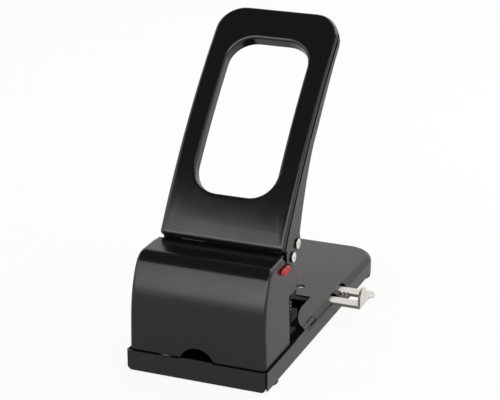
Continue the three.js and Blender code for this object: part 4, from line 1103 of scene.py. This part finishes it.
# %% The bent front of the cover
COVER_EDGE = 0.2
sheet = bmesh.new()
sheet.from_mesh(nodes["housing_cover"].data)
bmesh.ops.remove_doubles(sheet, verts=sheet.verts, dist=WELD_GAP * MM)
known = known_front(sheet)
bmesh.ops.dissolve_limit(sheet, angle_limit=FLAT_ANGLE, verts=sheet.verts, edges=sheet.edges)
for level in strip_heights():
    parts = list(sheet.verts) + list(sheet.edges) + list(sheet.faces)
    bmesh.ops.bisect_plane(sheet, geom=parts, plane_co=(0, 0, level * MM), plane_no=(0, 0, 1))
farthest = slide_front(sheet, known)
round_thumb_notch(sheet)
mesh = bpy.data.meshes.new("bent_cover")
sheet.to_mesh(mesh)
sheet.free()
mesh.materials.clear()
mesh.materials.append(powder_coat)
cover = put_in_scene("bent_cover", mesh)
soften(cover, COVER_EDGE)
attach(cover, "base")
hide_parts("housing_cover")
print("front of the cover moved", round(farthest, 2), "mm at most")

# %% [markdown]
# The paper guide is punched from plated sheet. Its flat sides are bright, and its sheared edges,
# which the plating never covers well, are dull, so the rack and both arms look drawn with a fine
# pen. A copy of the solid takes a dark grey second finish only on the faces of its arms that look
# towards the front, so that grey is partly the cut edge and partly painted shade. A second mesh for
# the edges would do it too, and flicker where both meet.

# %% The paper guide
SHADED_EDGE_FACING = 0.6
ARMS_END = 95.2
GUIDE_EDGE = 0.15


def sheared_guide():
    """A copy of the guide whose edges facing the front take a dark grey, partly painted shade."""
    mesh = nodes["paper_guide"].data.copy()
    mesh.materials.clear()
    mesh.materials.append(zinc)
    mesh.materials.append(sheared_and_shaded)
    # Painted shade: only the faces that look towards the front take the dark edge finish.
    for face in mesh.polygons:
        on_arms = (face.center.x - middle_x) / MM < ARMS_END
        face.material_index = 1 if face.normal.y < -SHADED_EDGE_FACING and on_arms else 0
    piece = put_in_scene("sheared_guide", mesh)
    soften(piece, GUIDE_EDGE)
    piece.modifiers["flat faces"].delimit = {"MATERIAL"}
    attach(piece, "guide")
    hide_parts("paper_guide")
    print("sheared faces:", sum(face.material_index for face in mesh.polygons), "of", len(mesh.polygons))


sheared_guide()

# %% [markdown]
# The other outer shells are folded and pressed from sheet steel before they are coated, so their
# long edges keep a small soft radius, and the coat fills it a little more. Thin sheet has a
# smaller radius than thick, so the tray is the sharpest of them.

# %% The outer shells
THICK_SHEET_EDGE = 0.3
BRACKET_EDGE = 0.2
TRAY_EDGE = 0.15
dress("table_shell", powder_coat, THICK_SHEET_EDGE)
dress("lever_frame", lever_coat, THICK_SHEET_EDGE)
dress("guide_bracket", powder_coat, BRACKET_EDGE)
dress("chip_tray", powder_coat, TRAY_EDGE)
print("nodes dressed in all:", sum("weld" in piece.modifiers for piece in nodes.values()))
